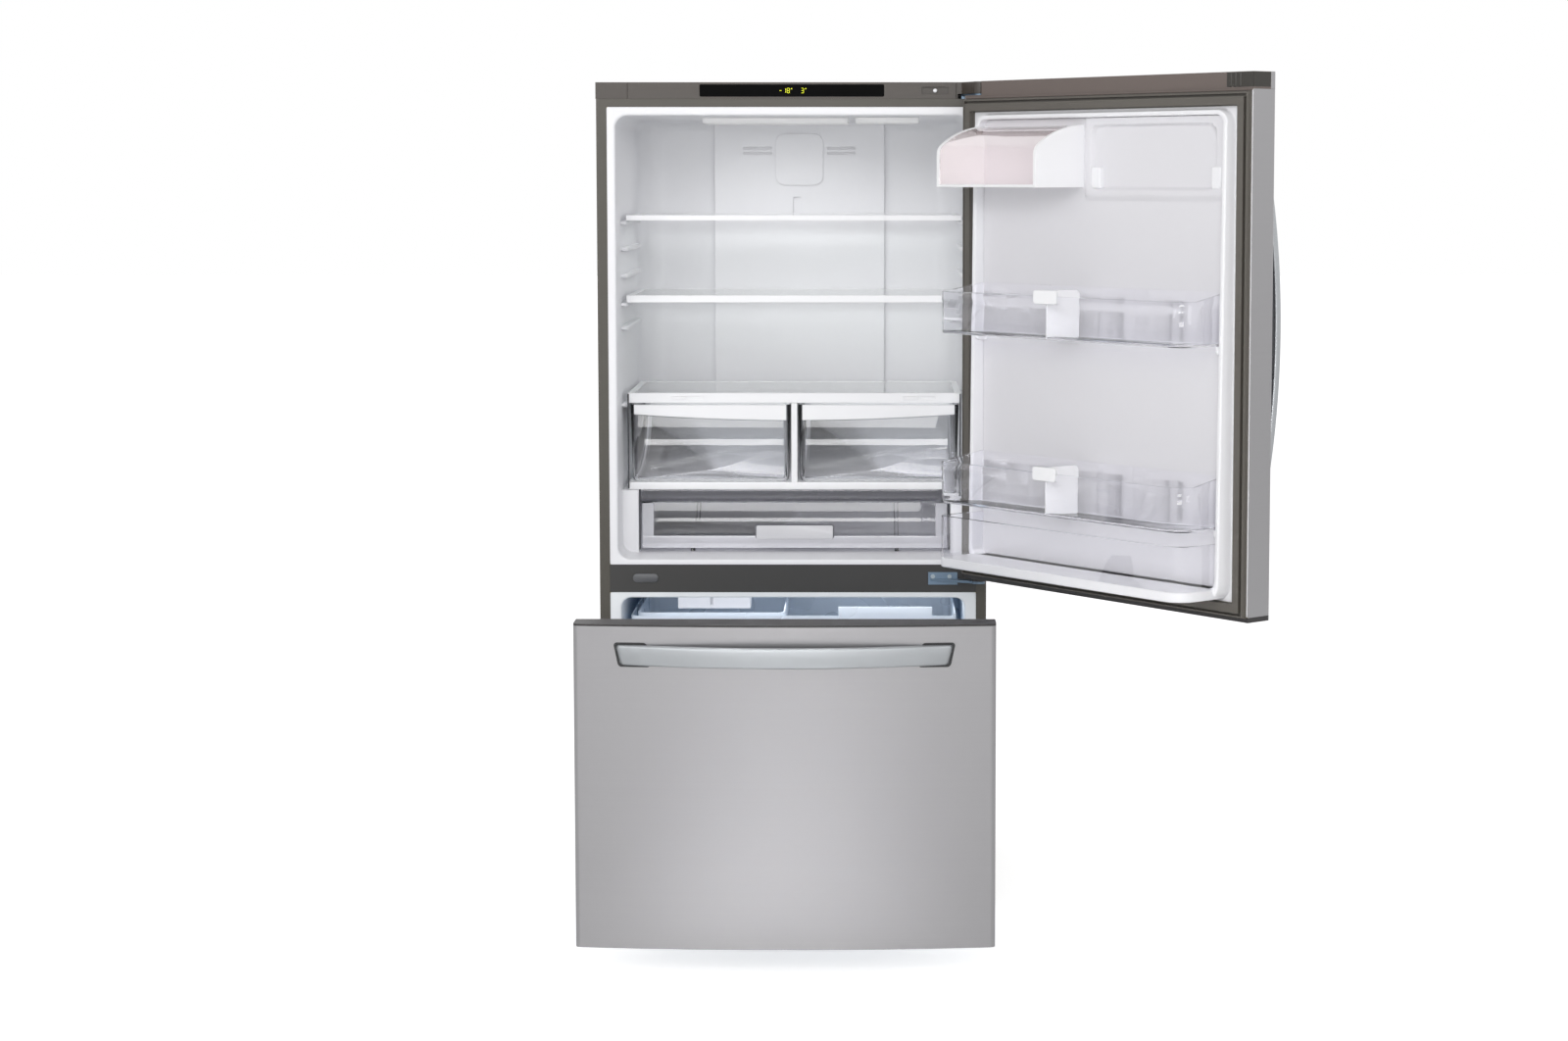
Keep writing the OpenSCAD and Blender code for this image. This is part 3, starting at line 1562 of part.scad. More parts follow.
// Butter box: a shallow tray between two shaped ends, which carry the cover's pins
module butter_box() {
  color([0.95, 0.95, 0.95])
    on_door() {
      for (x = [butter_x0, butter_x1 - cheek_t])
        along_x(x, x + cheek_t) butter_profile(0, inner_y + gap, butter_z);
      box([butter_x0, inner_y + gap, butter_z], [butter_x1, butter_y1 - 1, butter_z + cheek_t]);
      box([butter_x0, butter_y1 - cheek_t, butter_z], [butter_x1, butter_y1 - 1, butter_z + butter_base]);
      for (x = [butter_x0 + cheek_t - cut, butter_x1 - 3 * cheek_t])
        along_x(x, x + 2 * cheek_t + cut) translate([lid_y, lid_z]) circle(lid_pin_r);
    }
}

// Clear cover between the butter box's ends, with an ear on each pin
module butter_cover() {
  color([0.95, 0.88, 0.88, 0.5])
    on_door() {
      along_x(butter_x0 + cheek_t + gap, butter_x1 - cheek_t - gap)
        difference() {
          butter_profile(cover_inset, cover_y0, butter_z + butter_base + gap);
          butter_profile(cover_inset + cover_t, cover_y0 - cut, butter_z);
        }
      for (x = [butter_x0 + cheek_t + gap, butter_x1 - 2 * cheek_t - gap])
        along_x(x, x + cheek_t)
          translate([lid_y, lid_z])
            difference() {
              circle(lid_ear_r);
              circle(lid_pin_r + fit);
            }
    }
}

// Steel skin of the drawer's front
module drawer_panel() {
  color([0.72, 0.72, 0.73])
    on_drawer()
      difference() {
        front_block(0, inner_y, drawer_z0, drawer_z1);
        translate([0, 0, drawer_z0 + 2])
          linear_extrude(drawer_z1 - drawer_z0) front_plan(sheet, inner_y + cut);
      }
}

bulge_in = 54;
bulge_z0 = freezer_floor + 8;
bulge_z1 = freezer_ceiling - 7;

// Foam-filled inner face of the drawer's front, standing out into the freezer opening
module drawer_liner() {
  color([0.93, 0.94, 0.96])
    on_drawer() {
      front_block(sheet, inner_y, drawer_z0 + 2, drawer_z1);
      box([bulge_in - case_x, inner_y - cut, bulge_z0], [case_x - bulge_in, dike_rise, bulge_z1]);
    }
}

drawer_seal_z0 = freezer_z0 - gasket_w;
drawer_seal_z1 = drawer_z1 - 2;

// Gasket of the drawer's front
module drawer_gasket() {
  color([0.38, 0.37, 0.35]) on_drawer() gasket(seal_x, drawer_seal_z0, drawer_seal_z1);
}

// Cap along the top of the drawer's front
module drawer_top_cap() {
  color([0.42, 0.39, 0.36])
    on_drawer() front_block(0, inner_y, drawer_z1, drawer_z1 + drawer_cap_h);
}

// Level handle across the drawer's front
module drawer_handle() {
  half = handle_l / 2;
  color([0.84, 0.85, 0.86])
    on_drawer()
      difference() {
        translate([0, front_at(0), drawer_handle_z]) handle_bar(front_at(half) - front_at(0));
        front_block(0, 0, drawer_z0, drawer_z1);
      }
}

basket_y0 = dike_rise + 4;
basket_floor = freezer_floor + 4;
basket_low_x = freezer_x - rail_w - 4 - carrier_w - 2;
basket_high_x = freezer_x - 20;
basket_y1 = step_y - 12;
basket_wall = 3;
basket_r = 25;
rim_w = 6;

// Deep tub that hangs on the drawer's carriers, wider above them
module freezer_basket() {
  d = basket_y1 - basket_y0;
  mid_y = (basket_y0 + basket_y1) / 2;
  shelf = carrier_z1 + gap;
  color([0.9, 0.93, 0.96, 0.6])
    on_drawer()
      translate([0, mid_y, 0])
        difference() {
          union() {
            translate([0, 0, basket_floor])
              linear_extrude(shelf - basket_floor + basket_wall)
                round_rect(2 * basket_low_x, d - 2 * rim_w, basket_r);
            translate([0, 0, shelf])
              linear_extrude(basket_top - shelf)
                round_rect(2 * basket_high_x, d - 2 * rim_w, basket_r);
            translate([0, 0, basket_top - rim_w])
              linear_extrude(rim_w)
                round_rect(2 * basket_high_x + rim_w, d, basket_r);
          }
          translate([0, 0, basket_floor + basket_wall])
            linear_extrude(basket_top)
              round_rect(2 * basket_low_x - 2 * basket_wall, d - 2 * rim_w - 2 * basket_wall,
                basket_r - basket_wall);
          translate([0, 0, shelf + basket_wall])
            linear_extrude(basket_top)
              round_rect(2 * basket_high_x - 2 * basket_wall, d - 2 * rim_w - 2 * basket_wall,
                basket_r - basket_wall);
        }
}

tray_x = freezer_x - ledge_w - 4;
tray_z0 = tray_top - tray_h;
tray_wall = 3;
tray_flange_x = freezer_x - 4;
grip_rise = 20;
tray_grip_x0 = 97;
tray_grip_x1 = 300;
tray_r = 20;
flange_t = 4;

// Upper tray on the liner's ledges, with a raised grip at the right of its front
module freezer_tray() {
  d = tray_y1 - tray_y0;
  color([0.93, 0.95, 0.97, 0.7]) {
    translate([0, (tray_y0 + tray_y1) / 2, tray_z0])
      difference() {
        union() {
          linear_extrude(tray_h) round_rect(2 * tray_x, d, tray_r);
          translate([0, 0, ledge_z + gap - tray_z0])
            linear_extrude(flange_t) square([2 * tray_flange_x, d - 2 * tray_r], center = true);
        }
        translate([0, 0, tray_wall])
          linear_extrude(tray_h)
            round_rect(2 * (tray_x - tray_wall), d - 2 * tray_wall, tray_r - tray_wall);
      }
    box([tray_grip_x0, tray_y0, tray_top - grip_rise],
      [tray_grip_x1, tray_y0 + tray_wall, tray_top + grip_rise]);
  }
}

ice_bin_x0 = -338;
ice_bin_x1 = -20;
ice_bin_top = tray_top + 6;
ice_bin_d = 400;
ice_bin_wall = 2.5;

// Bin for ice in the left of the upper tray, under the ice maker
module ice_bin() {
  w = ice_bin_x1 - ice_bin_x0;
  color([0.9, 0.94, 0.97, 0.5])
    translate([(ice_bin_x0 + ice_bin_x1) / 2, tray_y0 + 3 * tray_wall + ice_bin_d / 2,
      tray_z0 + tray_wall + gap])
      tub(w, ice_bin_d, ice_bin_top - tray_z0 - tray_wall - gap, tray_r - tray_wall, ice_bin_wall);
}

outer_shell();
back_panel();
foam_insulation();
fridge_liner();
freezer_liner();
mullion_bar();
top_fascia();
display_window();
hinge_covers();
upper_hinge();
centre_hinge();
hinge_screws();
shelf_glasses();
shelf_trims();
crisper_cover_glass();
crisper_cover_frame();
crisper_shelf();
air_duct_panel();
lamp_lenses();
ice_maker();
evaporator_cover();
evaporator();
outer_rails();
compressor();
condenser();
machine_cover();
base_frame();
levelling_feet();
switch_plunger();
left_crisper();
right_crisper();
left_humidity_slider();
right_humidity_slider();
pantry_drawer();
ice_bin();
freezer_tray();
condenser_fan();
rollers();
middle_rails();
door_panel();
door_foam();
door_liner();
door_gasket();
door_top_cap();
door_bottom_cap();
door_handle();
butter_box();
butter_cover();
upper_door_bin();
lower_door_bin();
upper_bin_divider();
lower_bin_divider();
pocket_retainer();
drawer_panel();
drawer_liner();
drawer_gasket();
drawer_top_cap();
drawer_handle();
freezer_basket();
drawer_rails();
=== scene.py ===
# Bottom-freezer fridge with its door open and its freezer drawer pulled out, seen from the front.
# X runs to the right, Y away from the viewer and Z up, in metres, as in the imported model. Pieces
# of the door and the drawer are made as if shut, then turned or moved to where the CAD has them.
import math

import bmesh
import bpy
import numpy as np
from mathutils import Euler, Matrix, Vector


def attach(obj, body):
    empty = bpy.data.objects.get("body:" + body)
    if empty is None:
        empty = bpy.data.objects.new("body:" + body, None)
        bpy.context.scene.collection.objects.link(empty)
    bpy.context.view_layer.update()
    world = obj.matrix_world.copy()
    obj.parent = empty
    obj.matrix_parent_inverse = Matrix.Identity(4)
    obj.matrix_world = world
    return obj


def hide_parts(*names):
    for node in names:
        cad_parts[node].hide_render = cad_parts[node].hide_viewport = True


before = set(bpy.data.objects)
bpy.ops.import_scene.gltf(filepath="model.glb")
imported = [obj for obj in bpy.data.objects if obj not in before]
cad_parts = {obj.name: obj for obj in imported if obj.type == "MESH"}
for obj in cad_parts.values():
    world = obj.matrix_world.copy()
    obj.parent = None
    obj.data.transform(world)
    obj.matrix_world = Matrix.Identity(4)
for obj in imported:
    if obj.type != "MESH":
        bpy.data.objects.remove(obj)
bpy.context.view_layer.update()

# The camera stands in front at eye height. It is pitched down a little, because a fully level
# camera would need a shift so large that it cuts off the other views.
camera = bpy.data.objects.new("camera", bpy.data.cameras.new("camera"))
camera.data.lens = 67.38
camera.data.sensor_width = 36
camera.data.shift_x = -0.0571
camera.data.shift_y = -0.05
camera.location = (0.1888, -6.268, 1.5819)
camera.rotation_euler = Euler((math.radians(90 - 5.197), 0, math.radians(0.141)))
bpy.context.scene.collection.objects.link(camera)
bpy.context.scene.camera = camera
bpy.context.scene.view_settings.view_transform = "Standard"


# The studio is a white surround that gives soft light from all sides, a pale floor that shows
# white and still takes the shadow, and large soft boxes in front, high enough that the black
# display mirrors none of them. Small lamps hang under the ceilings of the fridge and the freezer.
def linear(code):
    """An sRGB hex colour as linear red, green and blue, with full alpha."""
    rgb = np.array([int(code[i:i + 2], 16) for i in (0, 2, 4)]) / 255
    rgb = np.where(rgb <= 0.04045, rgb / 12.92, ((rgb + 0.055) / 1.055) ** 2.4)
    return (*rgb.tolist(), 1.0)


def add(tree, kind, inputs=None, **settings):
    """Adds a shader node with its settings; an input is a value or another node's output."""
    made = tree.nodes.new("ShaderNode" + kind)
    for name, value in settings.items():
        setattr(made, name, value)
    for socket, value in (inputs or {}).items():
        if isinstance(value, bpy.types.NodeSocket):
            tree.links.new(value, made.inputs[socket])
        else:
            made.inputs[socket].default_value = value
    return made


def blank(name):
    """A new material with an empty node tree."""
    material = bpy.data.materials.new(name)
    material.use_nodes = True
    material.node_tree.nodes.clear()
    return material, material.node_tree


def seen_directly(tree):
    """1 for rays from the camera, from gloss and through glass, and 0 for soft light."""
    path = add(tree, "LightPath")
    mirrored = add(tree, "Math", {0: path.outputs["Is Camera Ray"], 1: path.outputs["Is Glossy Ray"]},
                   operation="ADD")
    return add(tree, "Math", {0: mirrored.outputs[0], 1: path.outputs["Is Transmission Ray"]},
               operation="ADD", use_clamp=True).outputs[0]


world = bpy.data.worlds.new("studio")
bpy.context.scene.world = world
world.use_nodes = True
world.node_tree.nodes.clear()
level = add(world.node_tree, "MapRange", {"Value": seen_directly(world.node_tree), "To Min": 0.6,
                                          "To Max": 1.0})
sky = add(world.node_tree, "Background", {"Color": linear("ffffff"), "Strength": level.outputs[0]})
add(world.node_tree, "OutputWorld", {"Surface": sky.outputs[0]})

floor = bpy.data.objects.new("floor", bpy.data.meshes.new("floor"))
floor_reach, floor_z = 40, -0.001
floor.data.from_pydata([(x * floor_reach, y * floor_reach, floor_z)
                        for x, y in ((-1, -1), (1, -1), (1, 1), (-1, 1))], [], [(0, 1, 2, 3)])
bpy.context.scene.collection.objects.link(floor)
floor_paint, tree = blank("pale studio floor")
matt = add(tree, "BsdfDiffuse", {"Color": linear("ececec")})
soft = add(tree, "MapRange", {"Value": seen_directly(tree), "To Min": 0.0, "To Max": 0.25})
direct = add(tree, "MapRange", {"Value": add(tree, "LightPath").outputs["Is Camera Ray"], "To Min": 0.0,
                                "To Max": 0.4})
both = add(tree, "Math", {0: soft.outputs[0], 1: direct.outputs[0]}, operation="ADD")
lift = add(tree, "Emission", {"Color": linear("ffffff"), "Strength": both.outputs[0]})
lit = add(tree, "AddShader", {0: matt.outputs[0], 1: lift.outputs[0]})
add(tree, "OutputMaterial", {"Surface": lit.outputs[0]})
floor.data.materials.append(floor_paint)


def hang(name, place, width, height, watts):
    """A rectangular soft lamp of the given size and power at a place, facing down."""
    made = bpy.data.objects.new(name, bpy.data.lights.new(name, "AREA"))
    made.data.shape = "RECTANGLE"
    made.data.size = width
    made.data.size_y = height
    made.data.energy = watts
    made.location = place
    bpy.context.scene.collection.objects.link(made)
    return made


for name, place, aim, width, height, watts in (
        ("front box", (-0.8, -8.2, 4.0), (0, 0, 1.1), 4.5, 2.4, 172),
        ("low box", (-0.2, -8.2, 1.5), (0, 0, 1.0), 3.6, 0.5, 42),
        ("left box", (-3.6, -4.6, 3.2), (0, 0, 1.0), 2.2, 2.2, 36),
        ("right box", (4.4, -4.8, 2.6), (0.3, -0.2, 1.0), 2.2, 2.2, 28),
        ("fridge lamp", (-0.044, 0.32, 1.690), (-0.044, 0.30, 0.8), 0.30, 0.13, 0.42),
        ("freezer lamp", (0.1, 0.12, 0.668), (0.1, 0.14, 0.1), 0.5, 0.08, 0.38),
        ("freezer fill", (0.0, 0.012, 0.668), (0.0, 0.5, 0.625), 0.6, 0.012, 0.10)):
    lamp = hang(name, place, width, height, watts)
    lamp.rotation_euler = (Vector(aim) - Vector(place)).to_track_quat("-Z", "Y").to_euler()

# A narrow lamp over the floor in front of the drawer: its strip of brighter floor is mirrored as
# the soft band down the middle of the crowned steel.
lamp = hang("floor strip", (-0.05, -3.3, 2.4), 0.3, 5.0, 13.0)
lamp.data.spread = math.radians(30)


# The case is one wrap of pre-painted steel, whose slight orange peel blurs its highlights. The bar
# between the two openings is painted darker, and the back is a bare galvanised sheet that shows
# its spangle as patches of light and dark.
def moulded(name, colour, roughness, grain=0.0011, depth=0.00002, drift=0.02, ior=1.53, edge=0.0012,
            blotch=0.35, metallic=0.0, glow=0.0, deep_shade=None):
    """A moulded or painted surface: its tint drifts over patches of the size blotch, a fine grain
    roughens it to the given depth, and its edges are rounded by the given radius, all in metres.
    The grain of plastic and paint is drawn at 1 to 2 mm, coarser than the real one, so that it
    shows. deep_shade is painted shade: another colour and the two depths in Y between which the
    tint turns into it."""
    material, tree = blank(name)
    place = add(tree, "TexCoord").outputs["Object"]
    patches = add(tree, "TexNoise", {"Vector": place, "Scale": 1 / blotch, "Detail": 3.0})
    base = linear(colour)
    dark = tuple(c * (1 - drift) for c in base[:3]) + (1.0,)
    tint = add(tree, "Mix", {0: patches.outputs["Fac"], 6: dark, 7: base}, data_type="RGBA").outputs[2]
    if deep_shade:
        y = add(tree, "SeparateXYZ", {0: place}).outputs["Y"]
        fade = add(tree, "MapRange", {"Value": y, "From Min": deep_shade[1], "From Max": deep_shade[2]})
        tint = add(tree, "Mix", {0: fade.outputs[0], 6: tint, 7: linear(deep_shade[0])},
                   data_type="RGBA").outputs[2]
    gloss = add(tree, "MapRange", {"Value": patches.outputs["Fac"], "From Min": 0.3, "From Max": 0.7,
                                   "To Min": roughness * 0.95, "To Max": roughness * 1.05})
    fine = add(tree, "TexNoise", {"Vector": place, "Scale": 1 / grain, "Detail": 2.0})
    soft_edge = add(tree, "Bevel", {"Radius": edge}, samples=4)
    bump = add(tree, "Bump", {"Height": fine.outputs["Fac"], "Distance": depth, "Strength": 1.0,
                              "Normal": soft_edge.outputs[0]})
    shader = add(tree, "BsdfPrincipled", {
        "Base Color": tint, "Roughness": gloss.outputs[0], "IOR": ior, "Metallic": metallic,
        "Normal": bump.outputs[0]})
    if glow:
        shader.inputs["Emission Color"].default_value = base
        shader.inputs["Emission Strength"].default_value = glow
    add(tree, "OutputMaterial", {"Surface": shader.outputs[0]})
    return material


def dress(material, *nodes):
    """Gives CAD nodes their material."""
    for name in nodes:
        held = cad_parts[name]
        held.data.materials.clear()
        held.data.materials.append(material)


dress(moulded("pre-painted steel, fine orange peel", "47433b", 0.42, grain=0.0018, depth=0.00006,
              drift=0.06, blotch=0.15), "outer_shell")
dress(moulded("painted steel, dark", "2f2e2d", 0.45, grain=0.0018, depth=0.00005, drift=0.06),
      "mullion_bar")
dress(moulded("galvanised back sheet", "9b9d9f", 0.4, grain=0.006, depth=0.00005, drift=0.12,
              metallic=0.8, ior=1.5, blotch=0.03), "back_panel")


# The fridge's liner is one vacuum-formed sheet of white styrene, 2 mm thick, with a satin sheen: a
# flat band against the steel, round corners, ribs with tapered ends on which the shelves can be set
# at other heights, and a shoulder on each side of the pantry. The air duct's panel and the drawer's
# lining are of the same white.
def quarter(steps):
    """Equal steps of angle over a quarter circle, in radians."""
    return np.radians(np.linspace(0, 90, steps))


def rounded(x0, x1, z0, z1, radius, steps=6):
    """A rectangle's outline with quarter circles for corners: each is centred a radius inside both
    sides and takes equal steps of angle. It runs anticlockwise from the low right corner; radius
    is one value, or four for the low right, high right, high left and low left corners."""
    r = np.broadcast_to(radius, 4)[:, None]
    turn = np.radians(np.array([-90, 0, 90, 180])[:, None] + np.linspace(0, 90, steps + 1))
    x = np.array([x1, x1, x0, x0])[:, None] + r * (np.array([-1, -1, 1, 1])[:, None] + np.cos(turn))
    z = np.array([z0, z1, z1, z0])[:, None] + r * (np.array([1, -1, -1, 1])[:, None] + np.sin(turn))
    return np.column_stack([x.ravel(), z.ravel()])


def on(side, a, b):
    """The places a and b on the left side, -1, or the right side, 1, with the smaller one first."""
    return sorted((side * a, side * b))


def upright(outline, y):
    """An outline of x and z, stood up at the depth or depths y."""
    return np.insert(outline, 1, y, axis=1)


def flat(outline, z):
    """An outline of x and y, laid at the height or heights z."""
    return np.insert(outline, 2, z, axis=1)


def across(outline, x):
    """An outline of y and z, stood across at the sideways place x."""
    return np.insert(outline, 0, x, axis=1)


def loft(loops):
    """A closed skin over equal loops of points: four-sided faces join each loop to the next, and one
    face fills the first loop and one the last. It is given as points and groups of faces."""
    index = np.arange(len(loops) * len(loops[0])).reshape(len(loops), -1)
    here, there = index[:-1], index[1:]
    sides = np.stack([here, np.roll(here, -1, 1), np.roll(there, -1, 1), there], -1).reshape(-1, 4)
    return np.concatenate(loops), [sides, index[:1, ::-1], index[-1:]]


def piece(name, shells, material, body, slot, *stands_for, smooth=35):
    """A finished piece of closed shells: doubles merged, faces turned outward, and only edges
    sharper than the given angle left sharp. It rides on a body and may stand for CAD nodes."""
    first = np.cumsum([0] + [len(points) for points, _ in shells])
    faces = [face for (_, groups), start in zip(shells, first) for group in groups
             for face in (group + start).tolist()]
    mesh = bpy.data.meshes.new(name)
    mesh.from_pydata(np.concatenate([points for points, _ in shells]).tolist(), [], faces)
    solid = bmesh.new()
    solid.from_mesh(mesh)
    bmesh.ops.remove_doubles(solid, verts=solid.verts, dist=1e-6)
    bmesh.ops.recalc_face_normals(solid, faces=solid.faces)
    solid.to_mesh(mesh)
    solid.free()
    mesh.shade_smooth()
    mesh.set_sharp_from_angle(angle=math.radians(smooth))
    mesh.materials.append(material)
    made = bpy.data.objects.new(name, mesh)
    bpy.context.scene.collection.objects.link(made)
    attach(made, body)
    if stands_for:
        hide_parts(*stands_for)
    return made


fridge_side, fridge_floor, fridge_ceiling = 0.376, 0.758, 1.708
fridge_back, back_bend, ceiling_bend = 0.590, 0.060, 0.025
sheet, band_width, band_front, band_rear = 0.002, 0.018, 0.001, 0.003
rib_reach, rib_half, rib_front, rib_rear = 0.014, 0.005, 0.118, 0.498


def fridge_ring(out, y, radius, up=None):
    """A loop of the liner at depth y, set outward by out at the sides and by up above and below,
    where it stops at the edge of the band."""
    lift = out if up is None else up
    return upright(rounded(-fridge_side - out, fridge_side + out, fridge_floor - min(lift, 0.011),
                           fridge_ceiling + lift, radius), y)


def fridge_back_ring(a, out):
    """A loop of the bend into the back wall, set outward by out: the sides draw in along a quarter
    circle of 60 mm at the angle a, the floor and the ceiling along one of 25 mm."""
    draw = math.cos(a) - 1
    y = fridge_back - back_bend + (back_bend + out) * math.sin(a)
    return fridge_ring(out + back_bend * draw, y, 0.026 + out, out + ceiling_bend * draw)


def wall_rib(side, top):
    """A rib 10 mm high that stands 14 mm off the wall; its ends shrink along a quarter circle."""
    turn = np.radians(np.linspace(20, 90, 5))
    shorter = rib_reach * (1 - np.cos(turn))
    y = np.concatenate([rib_front + shorter, rib_rear - shorter[::-1]])
    size = np.sin(np.concatenate([turn, turn[::-1]]))
    middle = top - rib_half
    return loft([upright(rounded(*on(side, fridge_side - rib_reach * s, fridge_side + 0.001),
                                 middle - rib_half * s, middle + rib_half * s, 0.003 * s), depth)
                 for depth, s in zip(y, size)])


def pantry_shoulder(side):
    """A block beside the pantry from its outer wall to the liner's, its front edges rounded off."""
    inner, outer, low, top = 0.3405, 0.3775, 0.7565, 0.8965
    return loft([upright(rounded(*on(side, inner + s, outer), low, top - s, 0.0004 + s), y)
                 for s, y in ((0.003, 0.1180), (0.0008, 0.1195), (0.0, 0.1220), (0.0, 0.5290))])


inside = [fridge_back_ring(a, 0.0) for a in quarter(8)[::-1]]
mouth = [fridge_ring(0.005 * (1 - math.cos(a)), 0.006 - 0.005 * math.sin(a), 0.026) for a in quarter(8)]
band = [fridge_ring(band_width, band_front, 0.004), fridge_ring(band_width, band_rear, 0.004),
        fridge_ring(sheet, band_rear, 0.028)]
outside = [fridge_back_ring(a, sheet) for a in quarter(8)]
rib_tops = (1.4837, 1.4267, 1.3687, 1.3057, 1.2547, 1.0867)
fittings = [wall_rib(side, top) for side in (-1, 1) for top in rib_tops]
fittings += [pantry_shoulder(side) for side in (-1, 1)]
white = moulded("high-impact styrene, white", "f3f3f6", 0.35)
piece("liner_of_fridge", [loft(inside + mouth + band + outside)] + fittings, white, "cabinet",
      "white_plastic", "fridge_liner")
dress(white, "air_duct_panel", "drawer_liner")


# The freezer's liner is formed the same way, with a white rim, and steps up over the machine room
# at its back; deeper in, its white turns to a darker blue, which is painted shade of the freezer's
# dim cold light. Its ledges carry the upper tray. The panel in front of the cold coil and the ice
# maker are moulded, and their blue and grey are painted shade of that cold light.
freezer_side, freezer_floor, freezer_ceiling = 0.370, 0.112, 0.675
upper_floor, freezer_back, freezer_bend = 0.298, 0.610, 0.030
step_wall, step_corner = 0.438, 0.030
ledge_reach, ledge_low, ledge_top = 0.356, 0.563, 0.575


def freezer_ring(out, y, low=freezer_floor):
    """A loop of the freezer's liner at depth y from the height low, set outward by out. Above the
    machine room its low corners are nearly sharp, because the rails run close to them."""
    foot = 0.022 if low < 0.2 else 0.002
    return upright(rounded(-freezer_side - out, freezer_side + out, low - out, freezer_ceiling + out,
                           (foot, 0.022, 0.022, foot)), y)


def freezer_back_ring(a, out, slip):
    """A loop of the bend into the back wall, set outward by out and back by slip: all four sides
    draw in along a quarter circle of 30 mm at the angle a."""
    y = freezer_back - freezer_bend + slip + (freezer_bend + slip) * math.sin(a)
    return freezer_ring(out + freezer_bend * (math.cos(a) - 1), y, upper_floor)


def corner_of_step(side):
    """An upright hollow corner of 30 mm between a side wall and the step's wall."""
    turn = quarter(9)
    radius = step_corner - 0.0002
    x0, y0 = freezer_side - step_corner, step_wall - step_corner
    hollow = np.vstack([np.column_stack([x0 + radius * np.cos(turn), y0 + radius * np.sin(turn)]),
                        [(x0, 0.4392), (0.3712, 0.4392), (0.3712, y0)]])
    return loft([flat(hollow * (side, 1), z) for z in (0.113, 0.2979)])


step = ((0.420, 0.112), (0.433, 0.1155), (0.438, 0.124), (0.438, 0.2945), (0.4388, 0.2972),
        (0.4415, 0.298))
shell = [freezer_back_ring(a, 0.0, 0.0) for a in quarter(6)[::-1]]
shell += [freezer_ring(0.0, y, low) for y, low in step[::-1]]
shell += [freezer_ring(0.004 * (1 - math.cos(a)), 0.005 - 0.004 * math.sin(a)) for a in quarter(5)]
shell += [upright(rounded(-0.394, 0.394, 0.100, 0.687, 0.004), y) for y in (band_front, band_rear)]
shell += [freezer_ring(sheet, band_rear)]
shell += [freezer_ring(sheet, y + 0.0013, low) for y, low in step]
shell += [freezer_back_ring(a, sheet, 0.001) for a in quarter(6)]
ledges = [loft([upright(rounded(*on(side, ledge_reach, 0.371), ledge_low, ledge_top, 0.003), y)
                for y in (0.022, 0.520)]) for side in (-1, 1)]
# The darker blue deep in the liner is painted shade.
piece("liner_of_freezer", [loft(shell)] + ledges + [corner_of_step(side) for side in (-1, 1)],
      moulded("high-impact styrene, white, painted blue shade deeper in", "f1f4f7", 0.35,
              deep_shade=("b6c8dc", 0.12, 0.40)), "cabinet", "pale_blue_plastic", "freezer_liner")
# The blue of the coil's panel and the grey of the ice maker are painted shade.
dress(moulded("polypropylene, painted blue shade", "cfe0f2", 0.35), "evaporator_cover")
dress(moulded("ABS, white with painted grey shade, ice maker", "cfd1d7", 0.35), "ice_maker")

# The fascia, the hinge's cover, the blank cover at the other end and the caps of door and drawer
# are injection-moulded in taupe ABS, with a satin grain that dulls the studio's reflection. A
# smoked window, let into the fascia, covers the display; its low gloss keeps it nearly black.
dress(moulded("ABS, taupe satin", "3f3832", 0.4, grain=0.0014, depth=0.00003), "top_fascia",
      "hinge_covers")
dress(moulded("ABS, dark taupe", "2a2728", 0.42, grain=0.0014, depth=0.00003), "drawer_top_cap",
      "door_bottom_cap")
dress(moulded("smoked acrylic window", "020203", 0.08, drift=0.0, depth=0.0, ior=1.16),
      "display_window")


# The figures of the display shine through the window: lit bars of seven-segment displays, each
# 1 mm wide and about 4.5 mm long, in a clear yellow-green.
def figure(bars, x, z):
    """The lit bars of a figure whose middle is at x and z: a top, b and c right, d bottom, e and f
    left, g middle. Each is a flat tile 2.5 mm or 5 mm from the middle, lying or standing."""
    places = {"a": (0, 5, 1), "d": (0, -5, 1), "g": (0, 0, 1), "b": (2.5, 2.5, 0),
              "c": (2.5, -2.5, 0), "e": (-2.5, -2.5, 0), "f": (-2.5, 2.5, 0)}
    tiles = []
    for right, up, lying in (places[segment] for segment in bars):
        wide, high = 0.5 + 1.7 * lying, 0.5 + 1.7 * (1 - lying)
        outline = rounded(x + (right - wide) / 1000, x + (right + wide) / 1000, z + (up - high) / 1000,
                          z + (up + high) / 1000, 0.0004, 2)
        tiles.append(loft([upright(outline, y) for y in (-0.0003, 0.0001)]))
    return tiles


def degree(x, z):
    """A lit dot of 2.4 mm for the degree sign."""
    return [loft([upright(rounded(x - 0.0012, x + 0.0012, z - 0.0012, z + 0.0012, 0.0011, 3), y)
                  for y in (-0.0003, 0.0001)])]


display_z = 1.7605
below_zero = figure("g", -0.024, display_z) + figure("bc", -0.0155, display_z)
below_zero += figure("abcdefg", -0.0075, display_z) + degree(-0.0005, display_z + 0.004)
above_zero = figure("abcdg", 0.0225, display_z) + degree(0.0295, display_z + 0.004)
piece("display_figures", below_zero + above_zero,
      moulded("lit display segment, yellow-green", "d9e021", 0.4, drift=0.0, depth=0.0, glow=0.9),
      "cabinet", "black_window")

# A pill-shaped plug of grey ABS is pressed into the bar between the openings. It closes the place
# of the hinge that a left-hand door would use, and stands 3 mm proud with a rounded edge.
plug_left, plug_right, plug_low, plug_high = -0.345, -0.290, 0.7085, 0.7275
pill = [upright(rounded(plug_left + s, plug_right - s, plug_low + s, plug_high - s, 0.0094 - s), y)
        for s, y in ((0.0, 0.0), (0.0, -0.0018), (0.0008, -0.0026), (0.002, -0.003))]
piece("unused_hinge_plug", [loft(pill)], moulded("ABS, grey", "58595c", 0.38), "cabinet",
      "black_plastic")

